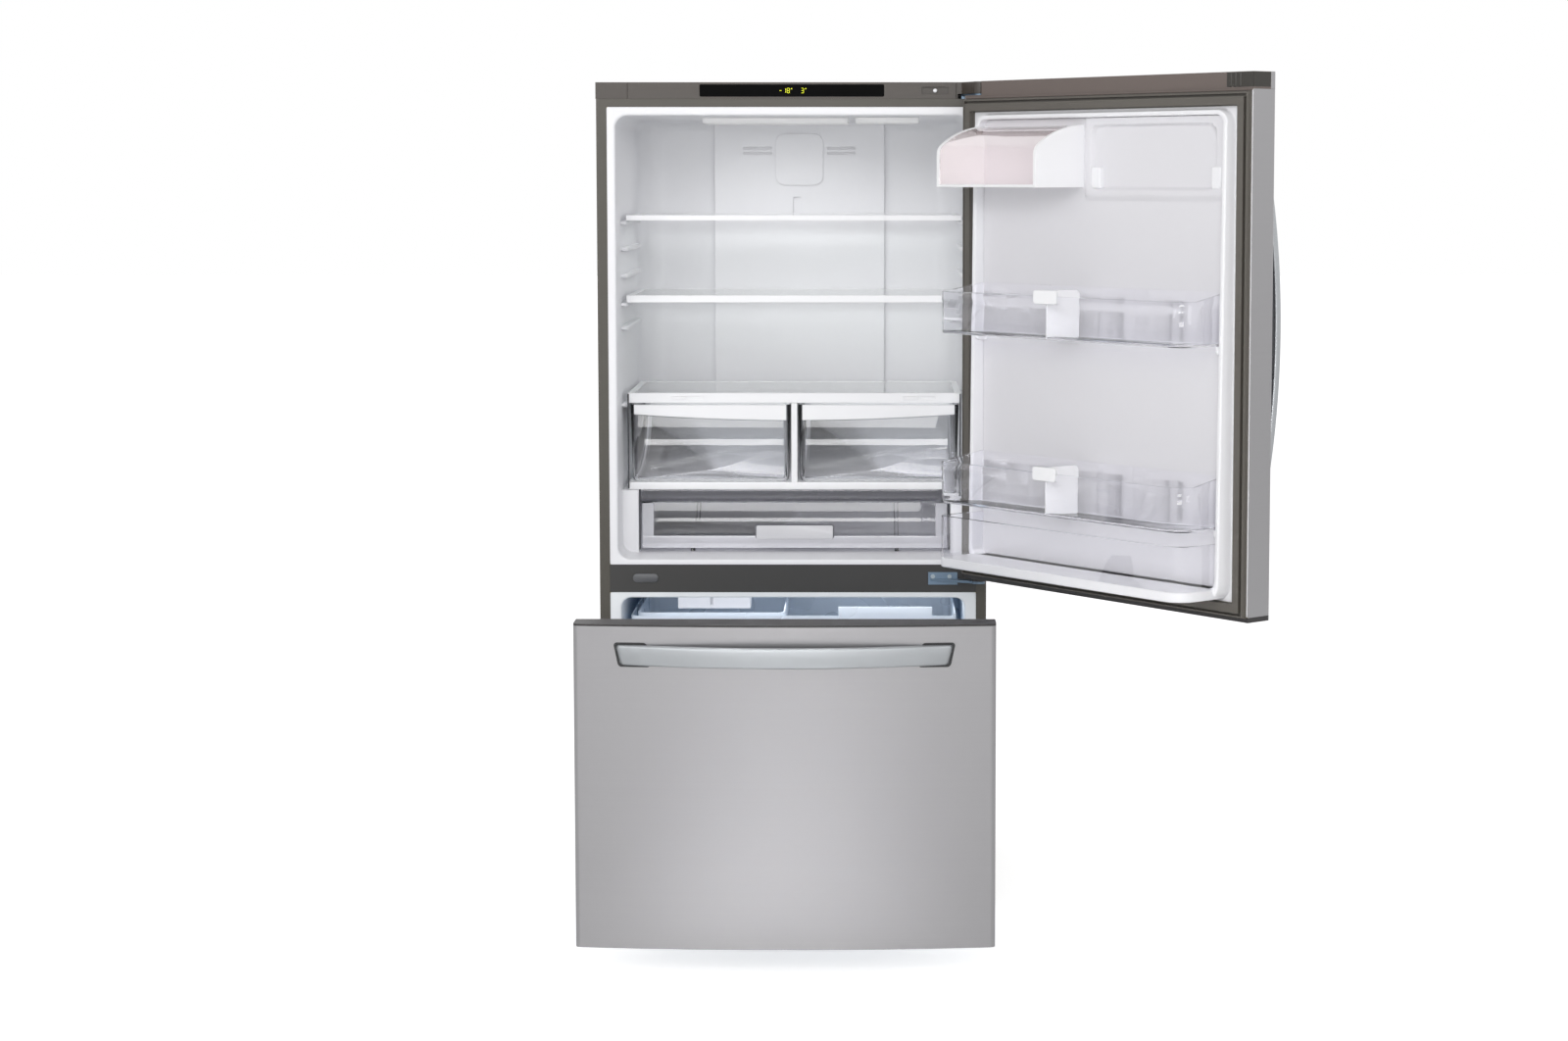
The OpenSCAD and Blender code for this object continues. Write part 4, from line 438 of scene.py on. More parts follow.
# The hinges, their screws and the drawer's rails are pressed from zinc-plated steel. The plating
# is a little cloudy, and on the hinges' plates its passivation gives a bluish cast.
dress(moulded("zinc-plated steel", "a9b4ba", 0.34, metallic=0.9, ior=1.5, drift=0.12, blotch=0.02),
      "hinge_screws", "outer_rails", "middle_rails", "drawer_rails")
dress(moulded("zinc-plated steel, blue passivated", "75889a", 0.4, metallic=0.8, ior=1.5, drift=0.15,
              blotch=0.02), "upper_hinge", "centre_hinge")


# Dark grey strips stand in the slits beside the drawers as painted shade: between the crispers'
# shelf and the walls of the fridge, and between the pantry and the shoulders of the liner.
def shade_strips(x0, x1, z0, z1, y0, y1):
    """A pair of upright dark strips of painted shade, one on each side, rounded by 1.2 mm."""
    return [loft([upright(rounded(*on(side, x0, x1), z0, z1, 0.0012, 3), y) for y in (y0, y1)])
            for side in (-1, 1)]


crisper_slit_shade = shade_strips(0.3607, 0.3640, 0.899, 1.107, 0.1162, 0.1185)
pantry_slit_shade = shade_strips(0.3372, 0.3402, 0.764, 0.897, 0.1190, 0.1225)
# These dark strips are painted shade in the slits beside the drawers.
piece("painted_shade_beside_crispers", crisper_slit_shade + pantry_slit_shade,
      moulded("dark grey, painted shade in the slits", "3a3b40", 0.5), "cabinet", "gasket_rubber")

# The lamps' lenses are pressed from opal acrylic, which glows evenly, and clip into the ceiling.
# Each hangs 14 mm down with soft edges.
dome = [(0.0, 0.0006), (0.0005, 0.0100), (0.002, 0.0122), (0.006, 0.0132), (0.030, 0.0138)]
lenses = [loft([flat(rounded(x - w / 2 + s, x + w / 2 - s, y - d / 2 + s, y + d / 2 - s,
                             max(0.010 - s * 0.2, 0.002)), fridge_ceiling - drop) for s, drop in dome])
          for x, y, w, d in ((-0.044, 0.320, 0.324, 0.150), (0.203, 0.250, 0.141, 0.090))]
piece("lenses_of_lamps", lenses,
      moulded("opal acrylic lamp lens", "f4f4f4", 0.35, glow=0.1, drift=0.0), "cabinet",
      "white_plastic", "lamp_lenses")


# The shelves' panes and the cover over the crispers are tempered glass with a faint green edge.
# Their trims and frame are moulded in an ABS that is brighter and glossier than the liner.
def clear(name, colour, roughness=0.03, ior=1.49, wave=0.00015, milk=0.0):
    """Clear moulded plastic or glass, faintly wavy, with a tint; its shadow is as clear as it is.
    Milk is the share of the light that it scatters back like a white plastic."""
    material, tree = blank(name)
    place = add(tree, "TexCoord").outputs["Object"]
    ripple = add(tree, "TexNoise", {"Vector": place, "Scale": 14.0, "Detail": 1.0})
    gloss = add(tree, "MapRange", {"Value": ripple.outputs["Fac"], "To Min": roughness * 0.5,
                                   "To Max": roughness * 1.5})
    bump = add(tree, "Bump", {"Height": ripple.outputs["Fac"], "Distance": wave, "Strength": 0.3})
    shader = add(tree, "BsdfPrincipled", {
        "Base Color": linear(colour), "Roughness": gloss.outputs[0], "IOR": ior,
        "Transmission Weight": 1.0 - milk, "Normal": bump.outputs[0]})
    path = add(tree, "LightPath")
    through = add(tree, "BsdfTransparent", {"Color": linear(colour)})
    mixed = add(tree, "MixShader", {0: path.outputs["Is Shadow Ray"], 1: shader.outputs[0],
                                    2: through.outputs[0]})
    add(tree, "OutputMaterial", {"Surface": mixed.outputs[0]})
    return material


dress(clear("tempered glass, faint green", "fafcfb", 0.02, 1.52), "shelf_glasses", "crisper_cover_glass")
bright = moulded("ABS, bright white", "f9f9fb", 0.3, depth=0.00001)
dress(bright, "shelf_trims", "crisper_cover_frame", "left_humidity_slider", "right_humidity_slider",
      "switch_plunger")


# The shelf under the crispers is a white ABS moulding with raised edges and a wall between the two
# tubs. A clear smoky valance clipped under its front hides the pantry drawer's rim.
def bar(x0, x1, y0, y1, z0, z1, edge=0.0015):
    """A bar along X whose four long edges are rounded."""
    return loft([across(rounded(y0, y1, z0, z1, edge, 4), x) for x in (x0, x1)])


def rail(x0, x1, y0, y1, z0, z1, edge=0.0015):
    """A bar along Y whose four long edges are rounded."""
    return loft([upright(rounded(x0, x1, z0, z1, edge, 4), y) for y in (y0, y1)])


shelf_half, shelf_front, shelf_rear, shelf_low, shelf_high = 0.364, 0.118, 0.498, 0.897, 0.913
raised_edge, pantry_half = 0.014, 0.336
shelf = [bar(-shelf_half, shelf_half, shelf_front, shelf_front + raised_edge, shelf_low, shelf_high),
         bar(-0.3505, 0.3505, 0.130, shelf_rear, 0.9101, 0.9129, 0.001)]
shelf += [rail(*on(side, shelf_half - raised_edge, shelf_half), 0.131, shelf_rear, shelf_low, shelf_high)
          for side in (-1, 1)]
wall_between = rail(-0.0065, 0.0065, shelf_front, 0.484, 0.9125, 1.0865, 0.0025)
piece("shelf_under_crispers", shelf + [wall_between], bright, "cabinet", "white_plastic",
      "crisper_shelf")
piece("valance_over_pantry", [bar(-pantry_half, pantry_half, 0.1183, 0.121, 0.872, 0.898, 0.001)],
      clear("clear smoky acrylic", "86868e", 0.08, 1.49, milk=0.3), "cabinet", "clear_plastic")


# Each crisper is a tub of clear styrene, whose high index gives bright edges. It widens upward, and
# a white strip is clipped along its front, whose lower edge is an arc to grip it by.
def tub(x0, x1, y0, y1, z0, z1, corner, taper):
    """An open tub 3 mm thick between its rim's sides: the floor's edge turns up by a quarter circle
    of 9 mm, the wall leans out by taper, and the rim is rounded over to the inside."""
    wall, foot = 0.003, 0.009

    def ring(out, z):
        return flat(rounded(x0 - out, x1 + out, y0 - out, y1 + out, max(corner + out, 0.002)), z)

    bends = [(-taper - foot * (1 - math.sin(a)), foot * (1 - math.cos(a))) for a in quarter(6)]
    outer = [ring(out, z0 + up) for out, up in bends]
    rim = [ring(0, z1 - 0.001), ring(-0.0006, z1), ring(-wall + 0.0006, z1), ring(-wall, z1 - 0.001)]
    return loft(outer + rim + [ring(out - wall, z0 + wall + up) for out, up in bends[::-1]])


def strip(x0, x1, z0, z1, rise, y0, y1):
    """A strip between two depths. The lower edges of both crispers' strips follow one arc, lowest in
    the fridge's middle and rise higher 350 mm from it: z0 + rise (x / 0.35) squared."""
    edge = 0.0015
    x = np.linspace(x0, x1, 25)
    low = z0 + rise * (x / 0.35) ** 2
    return loft([across(np.column_stack([
        [y0 + edge, y0, y0, y0 + edge, y1 - edge, y1, y1, y1 - edge],
        [z, z + edge, z1 - edge, z1, z1, z1 - edge, z + edge, z]]), place) for place, z in zip(x, low)])


crisper_middle, crisper_half, strip_half = 0.18375, 0.17625, 0.16625
crisper_floor, strip_low, crisper_rim = 0.9133, 1.0483, 1.0823
crisper_plastic = clear("clear styrene, crisper", "fbfbfd", 0.02, 1.59)
for side, body in ((-1, "left_crisper"), (1, "right_crisper")):
    middle = side * crisper_middle
    piece(body + "_tub", [tub(middle - crisper_half, middle + crisper_half, 0.125, 0.505,
                              crisper_floor, crisper_rim, 0.018, 0.005)],
          crisper_plastic, body, "clear_plastic", body)
    piece(body + "_strip", [strip(middle - strip_half, middle + strip_half, strip_low, crisper_rim,
                                  0.013, 0.1185, 0.1265)], bright, body, "white_plastic")

# The pantry drawer is a wide tub of the same styrene on two runners. Its front is milky along both
# sides and the foot, where the wall is doubled, and a grip stands out of it; a thin grey plate
# behind the grip, seen round its edge, is painted shade of the groove.
pantry = [tub(-pantry_half, pantry_half, 0.128, 0.528, 0.765, 0.868, 0.022, 0.005)]
pantry += [loft([upright(rounded(x - 0.005, x + 0.005, 0.7583, 0.766, 0.002, 3), y)
                 for y in (0.138, 0.508)]) for x in (-0.224, 0.224)]
piece("pantry_tub", pantry, clear("clear styrene, pantry", "fafafc", 0.03, 1.59), "pantry",
      "clear_plastic", "pantry_drawer")
frame_half, frame_rear = 0.334, 0.1285
front_frame = [bar(-frame_half, frame_half, 0.1245, frame_rear, 0.767, 0.794, 0.0012)]
front_frame += [rail(*on(side, 0.309, frame_half), 0.1250, frame_rear, 0.7935, 0.866, 0.0012)
                for side in (-1, 1)]
piece("pantry_front_frame", front_frame,
      clear("milky styrene, doubled wall", "f2f2f7", 0.12, 1.59, milk=0.4), "pantry", "clear_plastic")
grip_half, grip_low, grip_high = 0.0840, 0.787, 0.8170
grip = [upright(rounded(-grip_half + s, grip_half - s, grip_low + s, grip_high - s, 0.004), y)
        for s, y in ((0.0012, 0.1215), (0.0, 0.1225), (0.0, 0.1345))]
piece("pantry_grip", [loft(grip)],
      clear("milky styrene, grip", "f6f6fa", 0.15, 1.59, milk=0.7), "pantry", "clear_plastic")
# The grey plate round the grip is painted shade of its groove.
piece("pantry_grip_painted_shade", [loft([upright(rounded(-0.0864, 0.0864, 0.7875, 0.8196, 0.006), y)
                                   for y in (0.1238, 0.1262)])],
      moulded("styrene, grey in the groove's shade", "5c5c64", 0.5), "pantry", "black_plastic")

# The door's lining is vacuum-formed like the fridge's, in one white sheet: a flat flange under the
# gasket, a raised dike round the bins, and a panel with a shallow recess for a second butter box.
# The panel is painted a little greyer than the dike, which is painted shade.
hinge_x, hinge_y, open_angle = 0.398, -0.040, 129.3


def opened(shell):
    """A shell made for the shut door, turned about the hinge's axis to where the door stands open."""
    points, groups = shell
    turn = math.radians(open_angle)
    x, y = points[:, 0] - hinge_x, points[:, 1] - hinge_y
    return np.column_stack([hinge_x + x * math.cos(turn) - y * math.sin(turn),
                            hinge_y + x * math.sin(turn) + y * math.cos(turn), points[:, 2]]), groups


def smooth(t):
    """0 below 0 and 1 above 1, with an even S between: 3 t squared - 2 t cubed."""
    t = np.clip(t, 0, 1)
    return t * t * (3 - 2 * t)


def dike_ring(half, z0, z1, radius, rise):
    """A loop of the dike at rise above the flange; the dike drops from 32 to 18 mm along its top."""
    outline = rounded(-half, half, z0, z1, radius)
    low_top = 1 - 0.4375 * smooth((outline[:, 1] - 1.640) / 0.050)
    return upright(outline, -0.014 + rise * low_top)


dike = [upright(rounded(-0.415, 0.415, 0.735, 1.7447, 0.006), y) for y in (-0.016, -0.014)]
dike += [dike_ring(*loop) for loop in (
    (0.3695, 0.7625, 1.7095, 0.033, 0.0), (0.368, 0.764, 1.708, 0.032, 0.003),
    (0.3665, 0.7655, 1.7065, 0.030, 0.026), (0.3655, 0.7665, 1.7055, 0.029, 0.030),
    (0.363, 0.769, 1.703, 0.027, 0.032), (0.3575, 0.780, 1.6995, 0.022, 0.032),
    (0.3550, 0.784, 1.6975, 0.020, 0.030), (0.354, 0.786, 1.697, 0.019, 0.026),
    (0.354, 0.786, 1.697, 0.019, 0.003))]
dike += [upright(rounded(-0.3535, 0.3535, 0.7865, 1.6965, 0.018), -0.0156)]


def inner_panel():
    """A slab over a grid that is finer at the recess's edges. Its face stands 1.5 mm above the
    flange and rises by 6.5 mm more round the recess, which sinks back to the flange; the recess
    has corners of 25 mm, by its distance from a smaller rectangle."""
    x = np.unique(np.concatenate([np.linspace(-0.353, 0.353, 61), np.linspace(-0.332, -0.320, 7),
                                  np.linspace(0.015, 0.027, 7), np.linspace(0.033, 0.046, 6)]))
    z = np.unique(np.concatenate([np.linspace(0.787, 1.696, 61), np.linspace(1.552, 1.564, 7),
                                  np.linspace(1.674, 1.686, 7), np.linspace(1.528, 1.545, 7)]))
    gx, gz = np.meshgrid(x, z)
    middle_x, middle_z, half_x, half_z = -0.1525, 1.6175, 0.1485, 0.0375
    away = np.hypot(np.maximum(np.abs(gx - middle_x) - half_x, 0),
                    np.maximum(np.abs(gz - middle_z) - half_z, 0))
    sunk = smooth((0.028 - away) / 0.006)
    raised = smooth((gz - 1.528) / 0.016) * smooth((0.046 - gx) / 0.012)
    face, rise, recess = -0.0125, 0.0065, -0.0151
    y = (face + rise * raised) * (1 - sunk) + recess * sunk
    front = np.stack([gx, y, gz], -1)
    back = np.stack([gx, np.full_like(gx, -0.0158), gz], -1)
    index = np.arange(gx.size).reshape(gx.shape)
    quads = np.stack([index[:-1, :-1], index[1:, :-1], index[1:, 1:], index[:-1, 1:]], -1).reshape(-1, 4)
    edge = np.concatenate([index[0], index[1:, -1], index[-1, -2::-1], index[-2:0:-1, 0]])
    skirt = np.stack([edge, np.roll(edge, -1), np.roll(edge, -1) + gx.size, edge + gx.size], -1)
    return (np.concatenate([front.reshape(-1, 3), back.reshape(-1, 3)]),
            [quads, quads[:, ::-1] + gx.size, skirt])


def bin_ring(half, back, front, z, back_r=0.004, grow=0.0):
    """A loop of a bin: nearly square at the back, with a small round corner in front at the hinge's
    side and a large one at the handle's side, both grown by grow."""
    return flat(rounded(-half, half, back, front, (back_r, 0.014 + grow, 0.040 + grow, back_r)), z)


upper_bin_z, lower_bin_z = 1.254, 0.900
clips = [loft([upright(rounded(x - 0.012 + s, x + 0.012 - s, 1.556 + s, 1.598 - s, 0.004), y)
               for s, y in ((0, -0.0155), (0, -0.006), (0.0015, -0.0045))]) for x in (-0.328, 0.006)]
lug_nose = [(0.0, -0.015), (0.0, 0.006), (0.003, 0.011), (0.006, 0.0135)]
lugs = [loft([upright(rounded(*on(side, 0.344 + s, 0.3545), z - 0.0163 + s, z - 0.0003, 0.002, 3), y)
              for s, y in lug_nose]) for side in (-1, 1) for z in (upper_bin_z, lower_bin_z)]
pocket = [bin_ring(0.352, -0.0155, 0.108, 0.766), bin_ring(0.354, -0.0155, 0.110, 0.768),
          bin_ring(0.354, -0.0155, 0.110, 0.784), bin_ring(0.352, -0.0155, 0.108, 0.786)]
piece("liner_of_door", [opened(shell) for shell in [loft(dike), loft(pocket)] + clips + lugs],
      white, "door", "white_plastic", "door_liner")
# The panel's greyer white is painted shade.
piece("panel_of_door", [opened(inner_panel())],
      moulded("high-impact styrene, white with painted shade", "e2e1e5", 0.38), "door", "white_plastic")

# Each door bin is one clear styrene moulding that lifts off the lugs of the lining: its rim drops
# to a low front, where a thicker band runs along its top, and its floor turns up all round in a
# small curve.
bin_side, bin_back, bin_front, bin_high = 0.3537, -0.0137, 0.110, 0.104


def door_bin(z0):
    """A bin on z0 whose rim drops by 16 mm from its back to its front, along an S from y 15 to
    35 mm. The floor's edge is a quarter circle of 6 mm."""
    def ring(out, up=None, below=None):
        loop = bin_ring(bin_side + out, bin_back - out, bin_front + out, z0, 0.004 + max(out, -0.003), out)
        rim = z0 + bin_high - 0.016 * smooth((loop[:, 1] - 0.015) / 0.020)
        loop[:, 2] = z0 + up if up is not None else rim - below
        return loop

    bends = [(-0.006 * (1 - math.sin(a)), 0.006 * (1 - math.cos(a))) for a in quarter(5)]
    outer = [ring(out - 0.0012, up) for out, up in bends]
    outer += [ring(-0.0012, below=0.0205), ring(0, below=0.0185)]
    rim = [ring(0, below=0.001), ring(-0.0008, below=0), ring(-0.0024, below=0), ring(-0.0032, below=0.001)]
    return loft(outer + rim + [ring(out - 0.0037, up + 0.003) for out, up in bends[::-1]])


bin_plastic = clear("clear styrene, door bin", "fafafc", 0.02, 1.59)
piece("bin_upper", [opened(door_bin(upper_bin_z))], bin_plastic, "door", "clear_plastic",
      "upper_door_bin")
piece("bin_lower", [opened(door_bin(lower_bin_z))], bin_plastic, "door", "clear_plastic",
      "lower_door_bin")


# The pocket at the foot of the door has a band of the same clear styrene in front. It stands on the
# pocket's floor and snaps into the lining at both ends.
def open_band(z0, z1, t):
    """A band t thick round a bin's plan, open at the back: its section is carried along the plan's
    points from the back at one side, round the front, to the back at the other. The top is rounded
    off by 1 mm, over 0.3 of the thickness at each side."""
    corners = np.array([0.0005, 0.014, 0.040, 0.0005])
    outer = rounded(-bin_side, bin_side, bin_back, bin_front, corners, 8)[8:28]
    inner = rounded(-bin_side + t, bin_side - t, bin_back, bin_front - t, corners - (0, t, t, 0), 8)[8:28]
    off = (inner - outer) * 0.3
    return loft(np.stack([flat(outer, z0), flat(outer, z1 - 0.001), flat(outer + off, z1),
                          flat(inner - off, z1), flat(inner, z1 - 0.001), flat(inner, z0)], 1))


piece("retainer_of_pocket", [opened(open_band(0.7863, 0.8743, 0.003))], bin_plastic, "door",
      "clear_plastic", "pocket_retainer")


# A divider of the bright white ABS hooks over the front of each bin: a plate across it and a wide
# tab with round corners on both sides of the rim, which the hand slides it by.
def divider(z):
    """The divider of a bin whose underside is at z: its plate, the tab's two sides, and the block
    that joins them over the rim."""
    rim = z + 0.088
    plate = loft([across(rounded(0.018, 0.1065, z + 0.0033, rim + 0.0108, (0.004, 0.003, 0.012, 0.004)), x)
                  for x in (0.02575, 0.02825)])
    sides = [loft([upright(rounded(-0.007 + s, 0.061 - s, rim - 0.016 + s, rim + 0.011 - s, 0.006), y)
                   for s, y in ((0.0005, y0), (0, y0 + 0.0005), (0, y0 + 0.002), (0.0005, y0 + 0.0025))])
             for y0 in (0.1042, 0.1103)]
    return [plate, *sides, bar(-0.001, 0.055, 0.1045, 0.1125, rim + 0.0003, rim + 0.0108, 0.001)]


for name, z in (("upper_bin_divider", upper_bin_z), ("lower_bin_divider", lower_bin_z)):
    piece(name + "_plate", [opened(shell) for shell in divider(z)], bright, name.replace("_bin", ""),
          "white_plastic", name)


# The butter box is a white tray between two shaped ends, and its clear cover, with the faint pink
# of its styrene, swings up on pins moulded on them. All follow one profile: a flat arc, a bend and
# an upright front.
tray_back, tray_low = -0.0137, 1.557
pin_y, pin_z = 0.006, 1.6725


def butter_profile(inset, back, low):
    """The box's outline in y and z, drawn in by inset: an arc of 210 mm over its top, tangent to an
    arc of 24 mm, then straight down to low."""
    arc_y, arc_z, arc_r = -0.014, 1.473, 0.210
    knee_y, knee_r, between = 0.094, 0.024, 0.186
    bend = math.acos((knee_y - arc_y) / between)
    turn = np.linspace(math.acos((back - arc_y) / (arc_r - inset)), bend, 12)
    arc = (arc_y, arc_z) + (arc_r - inset) * np.column_stack([np.cos(turn), np.sin(turn)])
    turn = np.linspace(bend, 0, 9)
    centre = (knee_y, arc_z + between * math.sin(bend))
    knee = centre + (knee_r - inset) * np.column_stack([np.cos(turn), np.sin(turn)])
    return np.concatenate([arc, knee[1:], [(knee_y + knee_r - inset, low)]])


def butter_cheek(x):
    """An end of the box from x, 3 mm thick, with both its edges rounded."""
    return loft([across(np.concatenate([butter_profile(s, tray_back, tray_low + s),
                                        [(tray_back, tray_low + s)]]), x + d)
                 for s, d in ((0.0008, 0), (0, 0.0008), (0, 0.0022), (0.0008, 0.003))])


def butter_band(outer, inner, back, low, x0, x1):
    """A band over the box between two profiles, drawn in by outer and inner, from x0 to x1."""
    section = np.concatenate([butter_profile(outer, back, low), butter_profile(inner, back, low)[::-1]])
    return loft([across(section, x) for x in (x0, x1)])


def round_pin(radius, steps, x0, x1):
    """A round disc or pin on the cover's axis from x0 to x1."""
    a = np.linspace(0, 2 * np.pi, steps, endpoint=False)
    circle = np.column_stack([pin_y + radius * np.cos(a), pin_z + radius * np.sin(a)])
    return loft([across(circle, x) for x in (x0, x1)])


tray_section = np.array([(tray_back, tray_low), (0.1155, tray_low), (0.117, 1.5585), (0.117, 1.562),
                         (0.116, 1.563), (0.115, 1.562), (0.1145, 1.561), (0.1125, 1.560),
                         (tray_back, 1.560)])
tray = [butter_cheek(0.050), butter_cheek(0.3507), loft([across(tray_section, x) for x in (0.051, 0.3527)])]
tray += [butter_band(0.0004, 0.0027, tray_back, 1.5575, *ends)
         for ends in ((0.0525, 0.0578), (0.3459, 0.3512))]
tray += [round_pin(0.003, 16, *ends) for ends in ((0.052, 0.059), (0.3447, 0.3517))]
piece("butter_tray", [opened(shell) for shell in tray], bright, "door", "white_plastic", "butter_box")
lid = [butter_band(0.0015, 0.0040, -0.008, 1.5633, 0.0583, 0.3454)]
lid += [round_pin(0.007, 24, *ends) for ends in ((0.0536, 0.0610), (0.3427, 0.3501))]
piece("butter_lid", [opened(shell) for shell in lid],
      clear("clear styrene, faint pink", "f9f4f4", 0.04, 1.59), "butter_cover", "clear_plastic",
      "butter_cover")

# The gaskets are extruded in soft PVC with a magnet inside, matt and a little dusty to the eye. The
# foam between the liners and the steel is poured in, and shows its coarse cells where it is cut.
dress(moulded("extruded PVC gasket, taupe", "5c5852", 0.5, grain=0.002, depth=0.00005),
      "door_gasket", "drawer_gasket")
dress(moulded("polyurethane foam, cut", "e6d9a4", 0.8, grain=0.004, depth=0.0004), "foam_insulation",
      "door_foam")

# The deep basket, the upper tray and the ice bin are moulded in frosted polypropylene, which blurs
# what lies behind it and looks cold blue and cloudy.
dress(clear("frosted polypropylene, painted blue shade", "eaf1f9", 0.3, 1.49, milk=0.75), "ice_bin",
      "freezer_basket", "freezer_tray")


# Door and drawer are faced with crowned stainless steel, brushed level, which draws the reflections
# out into upright streaks. The lines follow the sheet, so the door's pattern turns with the open
# door. They are drawn at 0.9 mm, coarser than the real grit, so that they show.
def brushed(name, colour, roughness, turn, line=0.0009, run=1.5):
    """Brushed sheet metal: long scratches of the given spacing and run, level on the sheet once the
    pattern is turned about Z by the given degrees."""
    material, tree = blank(name)
    place = add(tree, "TexCoord").outputs["Object"]
    along = add(tree, "Mapping", {"Vector": place, "Rotation": (0, 0, math.radians(turn)),
                                  "Scale": (1 / run, 1 / run, 1 / line)})
    lines = add(tree, "TexNoise", {"Vector": along.outputs[0], "Scale": 1.0, "Detail": 3.0, "Roughness": 0.7})
    patches = add(tree, "TexNoise", {"Vector": place, "Scale": 3.0, "Detail": 2.0})
    base = linear(colour)
    tint = add(tree, "Mix", {0: lines.outputs["Fac"], 6: tuple(c * 0.955 for c in base[:3]) + (1.0,),
                             7: tuple(min(1.0, c * 1.03) for c in base[:3]) + (1.0,)}, data_type="RGBA")
    mixed = add(tree, "Math", {0: lines.outputs["Fac"], 1: patches.outputs["Fac"]}, operation="ADD")
    gloss = add(tree, "MapRange", {"Value": mixed.outputs[0], "From Min": 0.6, "From Max": 1.4,
                                   "To Min": roughness * 0.9, "To Max": roughness * 1.1})
    soft_edge = add(tree, "Bevel", {"Radius": 0.001}, samples=4)
    bump = add(tree, "Bump", {"Height": lines.outputs["Fac"], "Distance": 0.000008, "Strength": 1.0,
                              "Normal": soft_edge.outputs[0]})
    shader = add(tree, "BsdfPrincipled", {
        "Base Color": tint.outputs[2], "Roughness": gloss.outputs[0], "Metallic": 1.0, "Anisotropic": 0.4,
        "Normal": bump.outputs[0]})
    add(tree, "OutputMaterial", {"Surface": shader.outputs[0]})
    return material


dress(brushed("brushed stainless steel, drawer", "a09fa1", 0.32, 0), "drawer_panel")
door_steel = brushed("brushed stainless steel, door", "a6a5a7", 0.32, -open_angle)
dress(door_steel, "door_panel")

# The door's steel runs up in front of its moulded cap of taupe ABS to the cap's top. At the free end
# the cap carries three upright ribs and a darker plug over the hole that the foam was poured
# through, and a narrow lip of it covers the edge of the lining.
crown, front_middle = 3.617, -0.102
front_half, corner_r, corner_x = 0.416, 0.012, 0.404
cap_low, cap_top, plug_low, plug_high = 1.7449, 1.7772, 1.7488, 1.7768


def front_at(x):
    """Depth of the crowned fronts at x, for the shut door: a circle of 3.617 m, 102 mm in front of
    the case at its middle."""
    return front_middle + crown - np.sqrt(crown ** 2 - x ** 2)


def front_path(inset):
    """The plan of the crowned front from side to side, drawn in by inset: a large arc between two
    corners of 12 mm that are tangent to it."""
    lean = math.asin(corner_x / (crown - corner_r))
    turn = np.linspace(math.pi, 1.5 * math.pi - lean, 8)
    corner = np.column_stack([np.cos(turn), np.sin(turn)]) * (corner_r - inset) + (-corner_x, -0.0674)
    turn = np.linspace(-lean, lean, 41)
    front = np.column_stack([np.sin(turn), -np.cos(turn)]) * (crown - inset) + (0, crown + front_middle)
    start, end = [(-front_half + inset, -0.061)], [(front_half - inset, -0.0655)]
    return np.concatenate([start, corner, front[1:-1], corner[::-1] * (-1, 1), end])


outer, inner = front_path(-0.0002), front_path(0.0008)
sheet_edge = loft(np.stack([flat(outer, cap_low), flat(outer, cap_top), flat(inner, cap_top),
                            flat(inner, cap_low)], 1))
piece("sheet_over_door_cap", [opened(sheet_edge)], door_steel, "door", "stainless_skin")
cap_taupe = moulded("ABS, taupe, door cap", "685d58", 0.42, grain=0.0014, depth=0.00003)
dress(cap_taupe, "door_top_cap")
piece("lip_of_door_cap", [opened(bar(-0.4125, 0.4125, -0.0145, -0.0118, 1.7412, 1.7452, 0.001))],
      cap_taupe, "door", "taupe_plastic")
plug = [loft([upright(rounded(-0.4155, -0.3455, plug_low, plug_high, 0.001, 3), y)
              for y in (-0.0145, -0.0136)]),
        loft([across(rounded(-0.0600, -0.0140, plug_low, plug_high, 0.001, 3), x)
              for x in (-0.4163, -0.4155)])]
plug += [loft([upright(rounded(x - 0.0028 + s, x + 0.0028 - s, 1.7495, 1.7762, 0.001, 3), y)
               for s, y in ((0, -0.0138), (0.0006, -0.0128), (0.0018, -0.0122))])
         for x in (-0.3560, -0.3680, -0.3805)]
piece("plug_of_door_cap", [opened(shell) for shell in plug],
      moulded("ABS, dark olive", "2f2c27", 0.45, grain=0.0014, depth=0.00003), "door", "taupe_plastic")

# Each handle is a bar of satin aluminium, with a soft even sheen, that arches away from the front
# and comes back to it in two slanted ends. A thin dark plate lies under each end.
handle_end, handle_half = 0.332, 0.020
drawer_travel, drawer_handle_z, door_handle_x, door_handle_z = 0.487, 0.6455, -0.370, 1.277


def handle_bar(seat, sag):
    """A bar along X from -332 to 332 mm on a front that sags by sag at its ends. Its face follows an
    arc from 44 mm off the front in the middle to 7 mm at the ends, its back another that meets the
    front 44 mm before them; toward its ends it shrinks along a quarter circle, and its lower edge
    is 10 mm shorter at each end than its upper one."""
    turn = quarter(6)
    tip, face_out, face_drop, back_out, back_end = 0.008, 0.044, 0.037, 0.028, 0.288
    ends = handle_end - tip * (1 - np.sin(turn))
    run = np.concatenate([-ends[::-1], np.linspace(-0.32, 0.32, 49), ends])
    shrink = np.concatenate([tip * (1 - np.cos(turn[::-1])), np.zeros(49), tip * (1 - np.cos(turn))])
    loops = []
    for x, cut in zip(run, shrink):
        out = (x / handle_end) ** 2
        face = seat - face_out + (face_drop + sag) * out
        back = min(seat + sag * out - 0.0005,
                   seat - back_out + (back_out + sag * 0.752) * (x / back_end) ** 2)
        section = rounded(min(face + cut, back - 0.002), back, -handle_half + cut, handle_half - cut,
                          (0.0035, 0.0035, 0.005, 0.005), 3)
        slant = 1 - 0.030 * (handle_half - section[:, 1]) / 0.040 * abs(x) / handle_end
        loops.append(np.column_stack([x * slant, section]))
    return loft(loops)


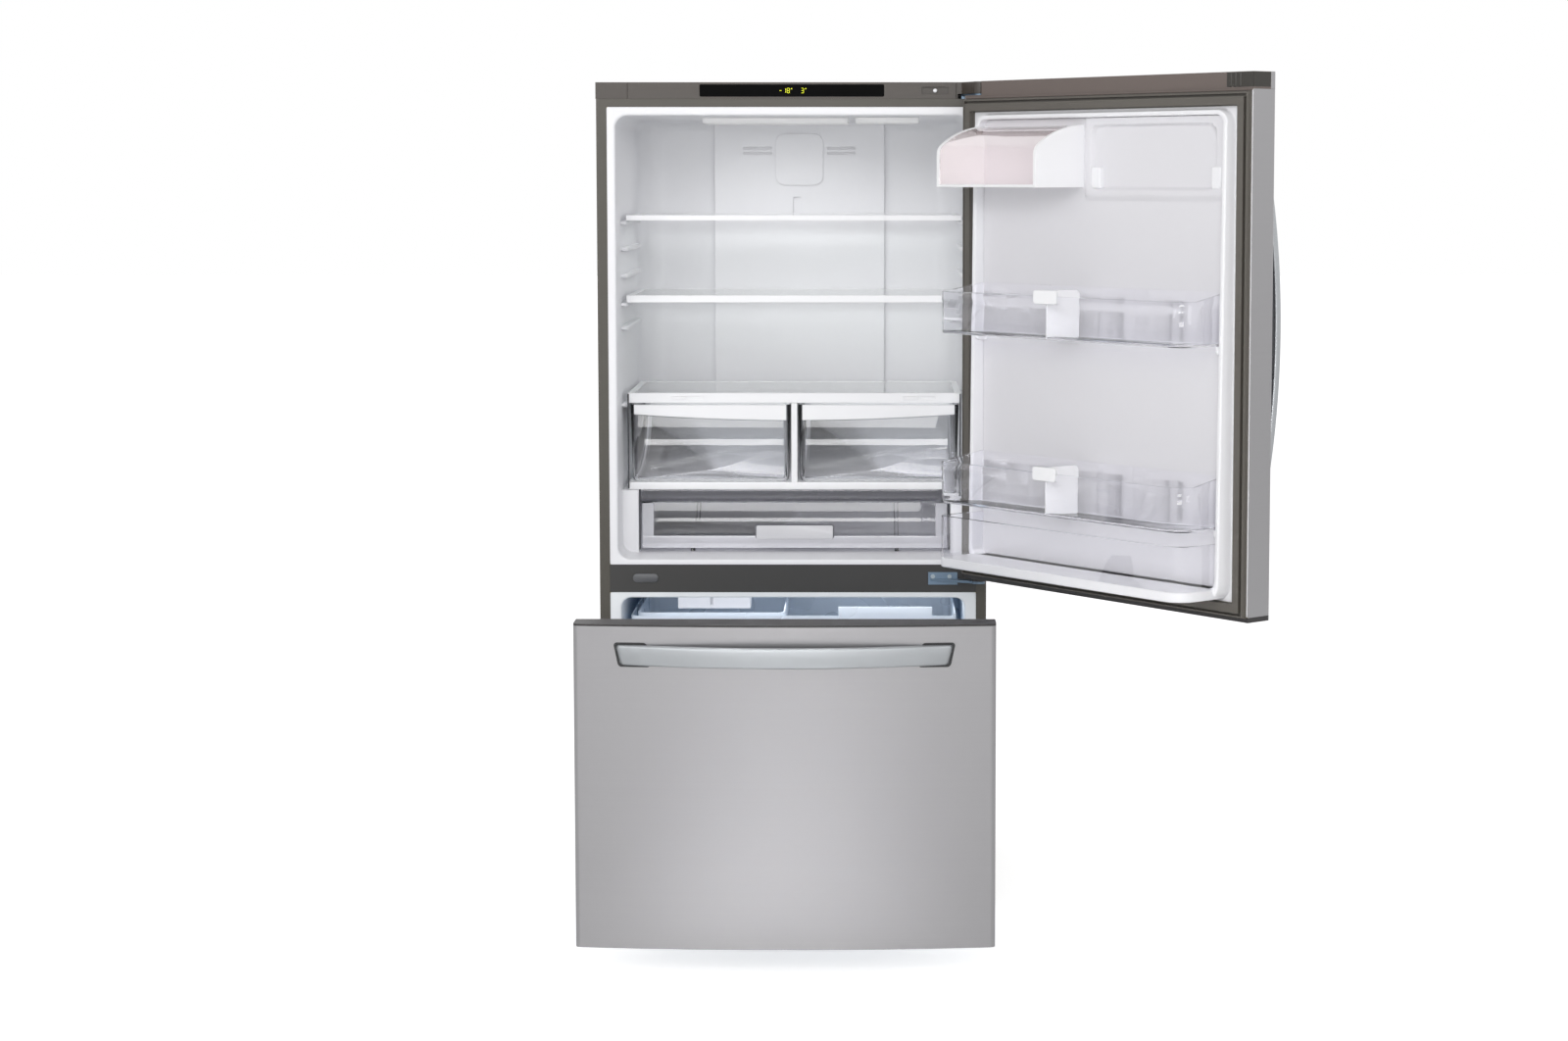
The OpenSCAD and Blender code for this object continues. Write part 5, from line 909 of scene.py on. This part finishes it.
def handle_end_plates(seat, sag):
    """Thin dark rounded plates 66 mm long under both ends, 4 mm wider than the bar all round."""
    shells = []
    for side in (-1, 1):
        outline = rounded(*on(side, 0.270, 0.336), -0.024, 0.024, 0.007)
        outline[:, 0] *= 1 - 0.030 * (0.024 - outline[:, 1]) / 0.048
        front = seat + sag * (outline[:, 0] / handle_end) ** 2
        shells.append(loft([upright(outline, front + 0.0005), upright(outline, front - 0.0022)]))
    return shells


def on_drawer(shell):
    """A shell of the handle, moved up to its height and out to where the drawer stands pulled out."""
    return shell[0] + np.array([0, -drawer_travel, drawer_handle_z]), shell[1]


def on_door(shell):
    """A bar along X, stood upright by swapping its length with its height and moved to its place."""
    return shell[0][:, [2, 1, 0]] + np.array([door_handle_x, 0, door_handle_z]), shell[1]


drawer_sag = float(front_at(handle_end) - front_at(0))
piece("handle_of_drawer", [on_drawer(handle_bar(front_middle, drawer_sag))],
      brushed("satin aluminium, drawer handle", "a6a9ac", 0.46, 0), "drawer", "brushed_aluminium",
      "drawer_handle")
# Thin dark plates lie under both ends of the drawer's handle.
piece("dark_plates_of_drawer_handle", [on_drawer(shell) for shell in handle_end_plates(front_middle, drawer_sag)],
      moulded("ABS, black", "17181a", 0.45, grain=0.001), "drawer", "black_plastic")
piece("handle_of_door", [opened(on_door(handle_bar(float(front_at(-door_handle_x)), 0.0)))],
      brushed("satin aluminium, door handle", "b7babd", 0.28, -open_angle, line=0.02, run=0.02), "door",
      "brushed_aluminium", "door_handle")

# The machine room holds a compressor in glossy black enamel, and the condenser's coils, its cover
# and the base frame in duller black paint. The coil behind the freezer's panel is bare drawn
# aluminium, and the feet, the rollers and the fan are black rubber and nylon.
dress(moulded("black enamel", "17181a", 0.3), "compressor")
dress(moulded("black painted tube and sheet", "222325", 0.4), "condenser", "machine_cover",
      "base_frame")
dress(moulded("drawn aluminium", "c6c9cb", 0.3, metallic=1.0, ior=1.5), "evaporator")
dress(moulded("moulded rubber and nylon, black", "1c1c1d", 0.55), "levelling_feet", "rollers",
      "condenser_fan")
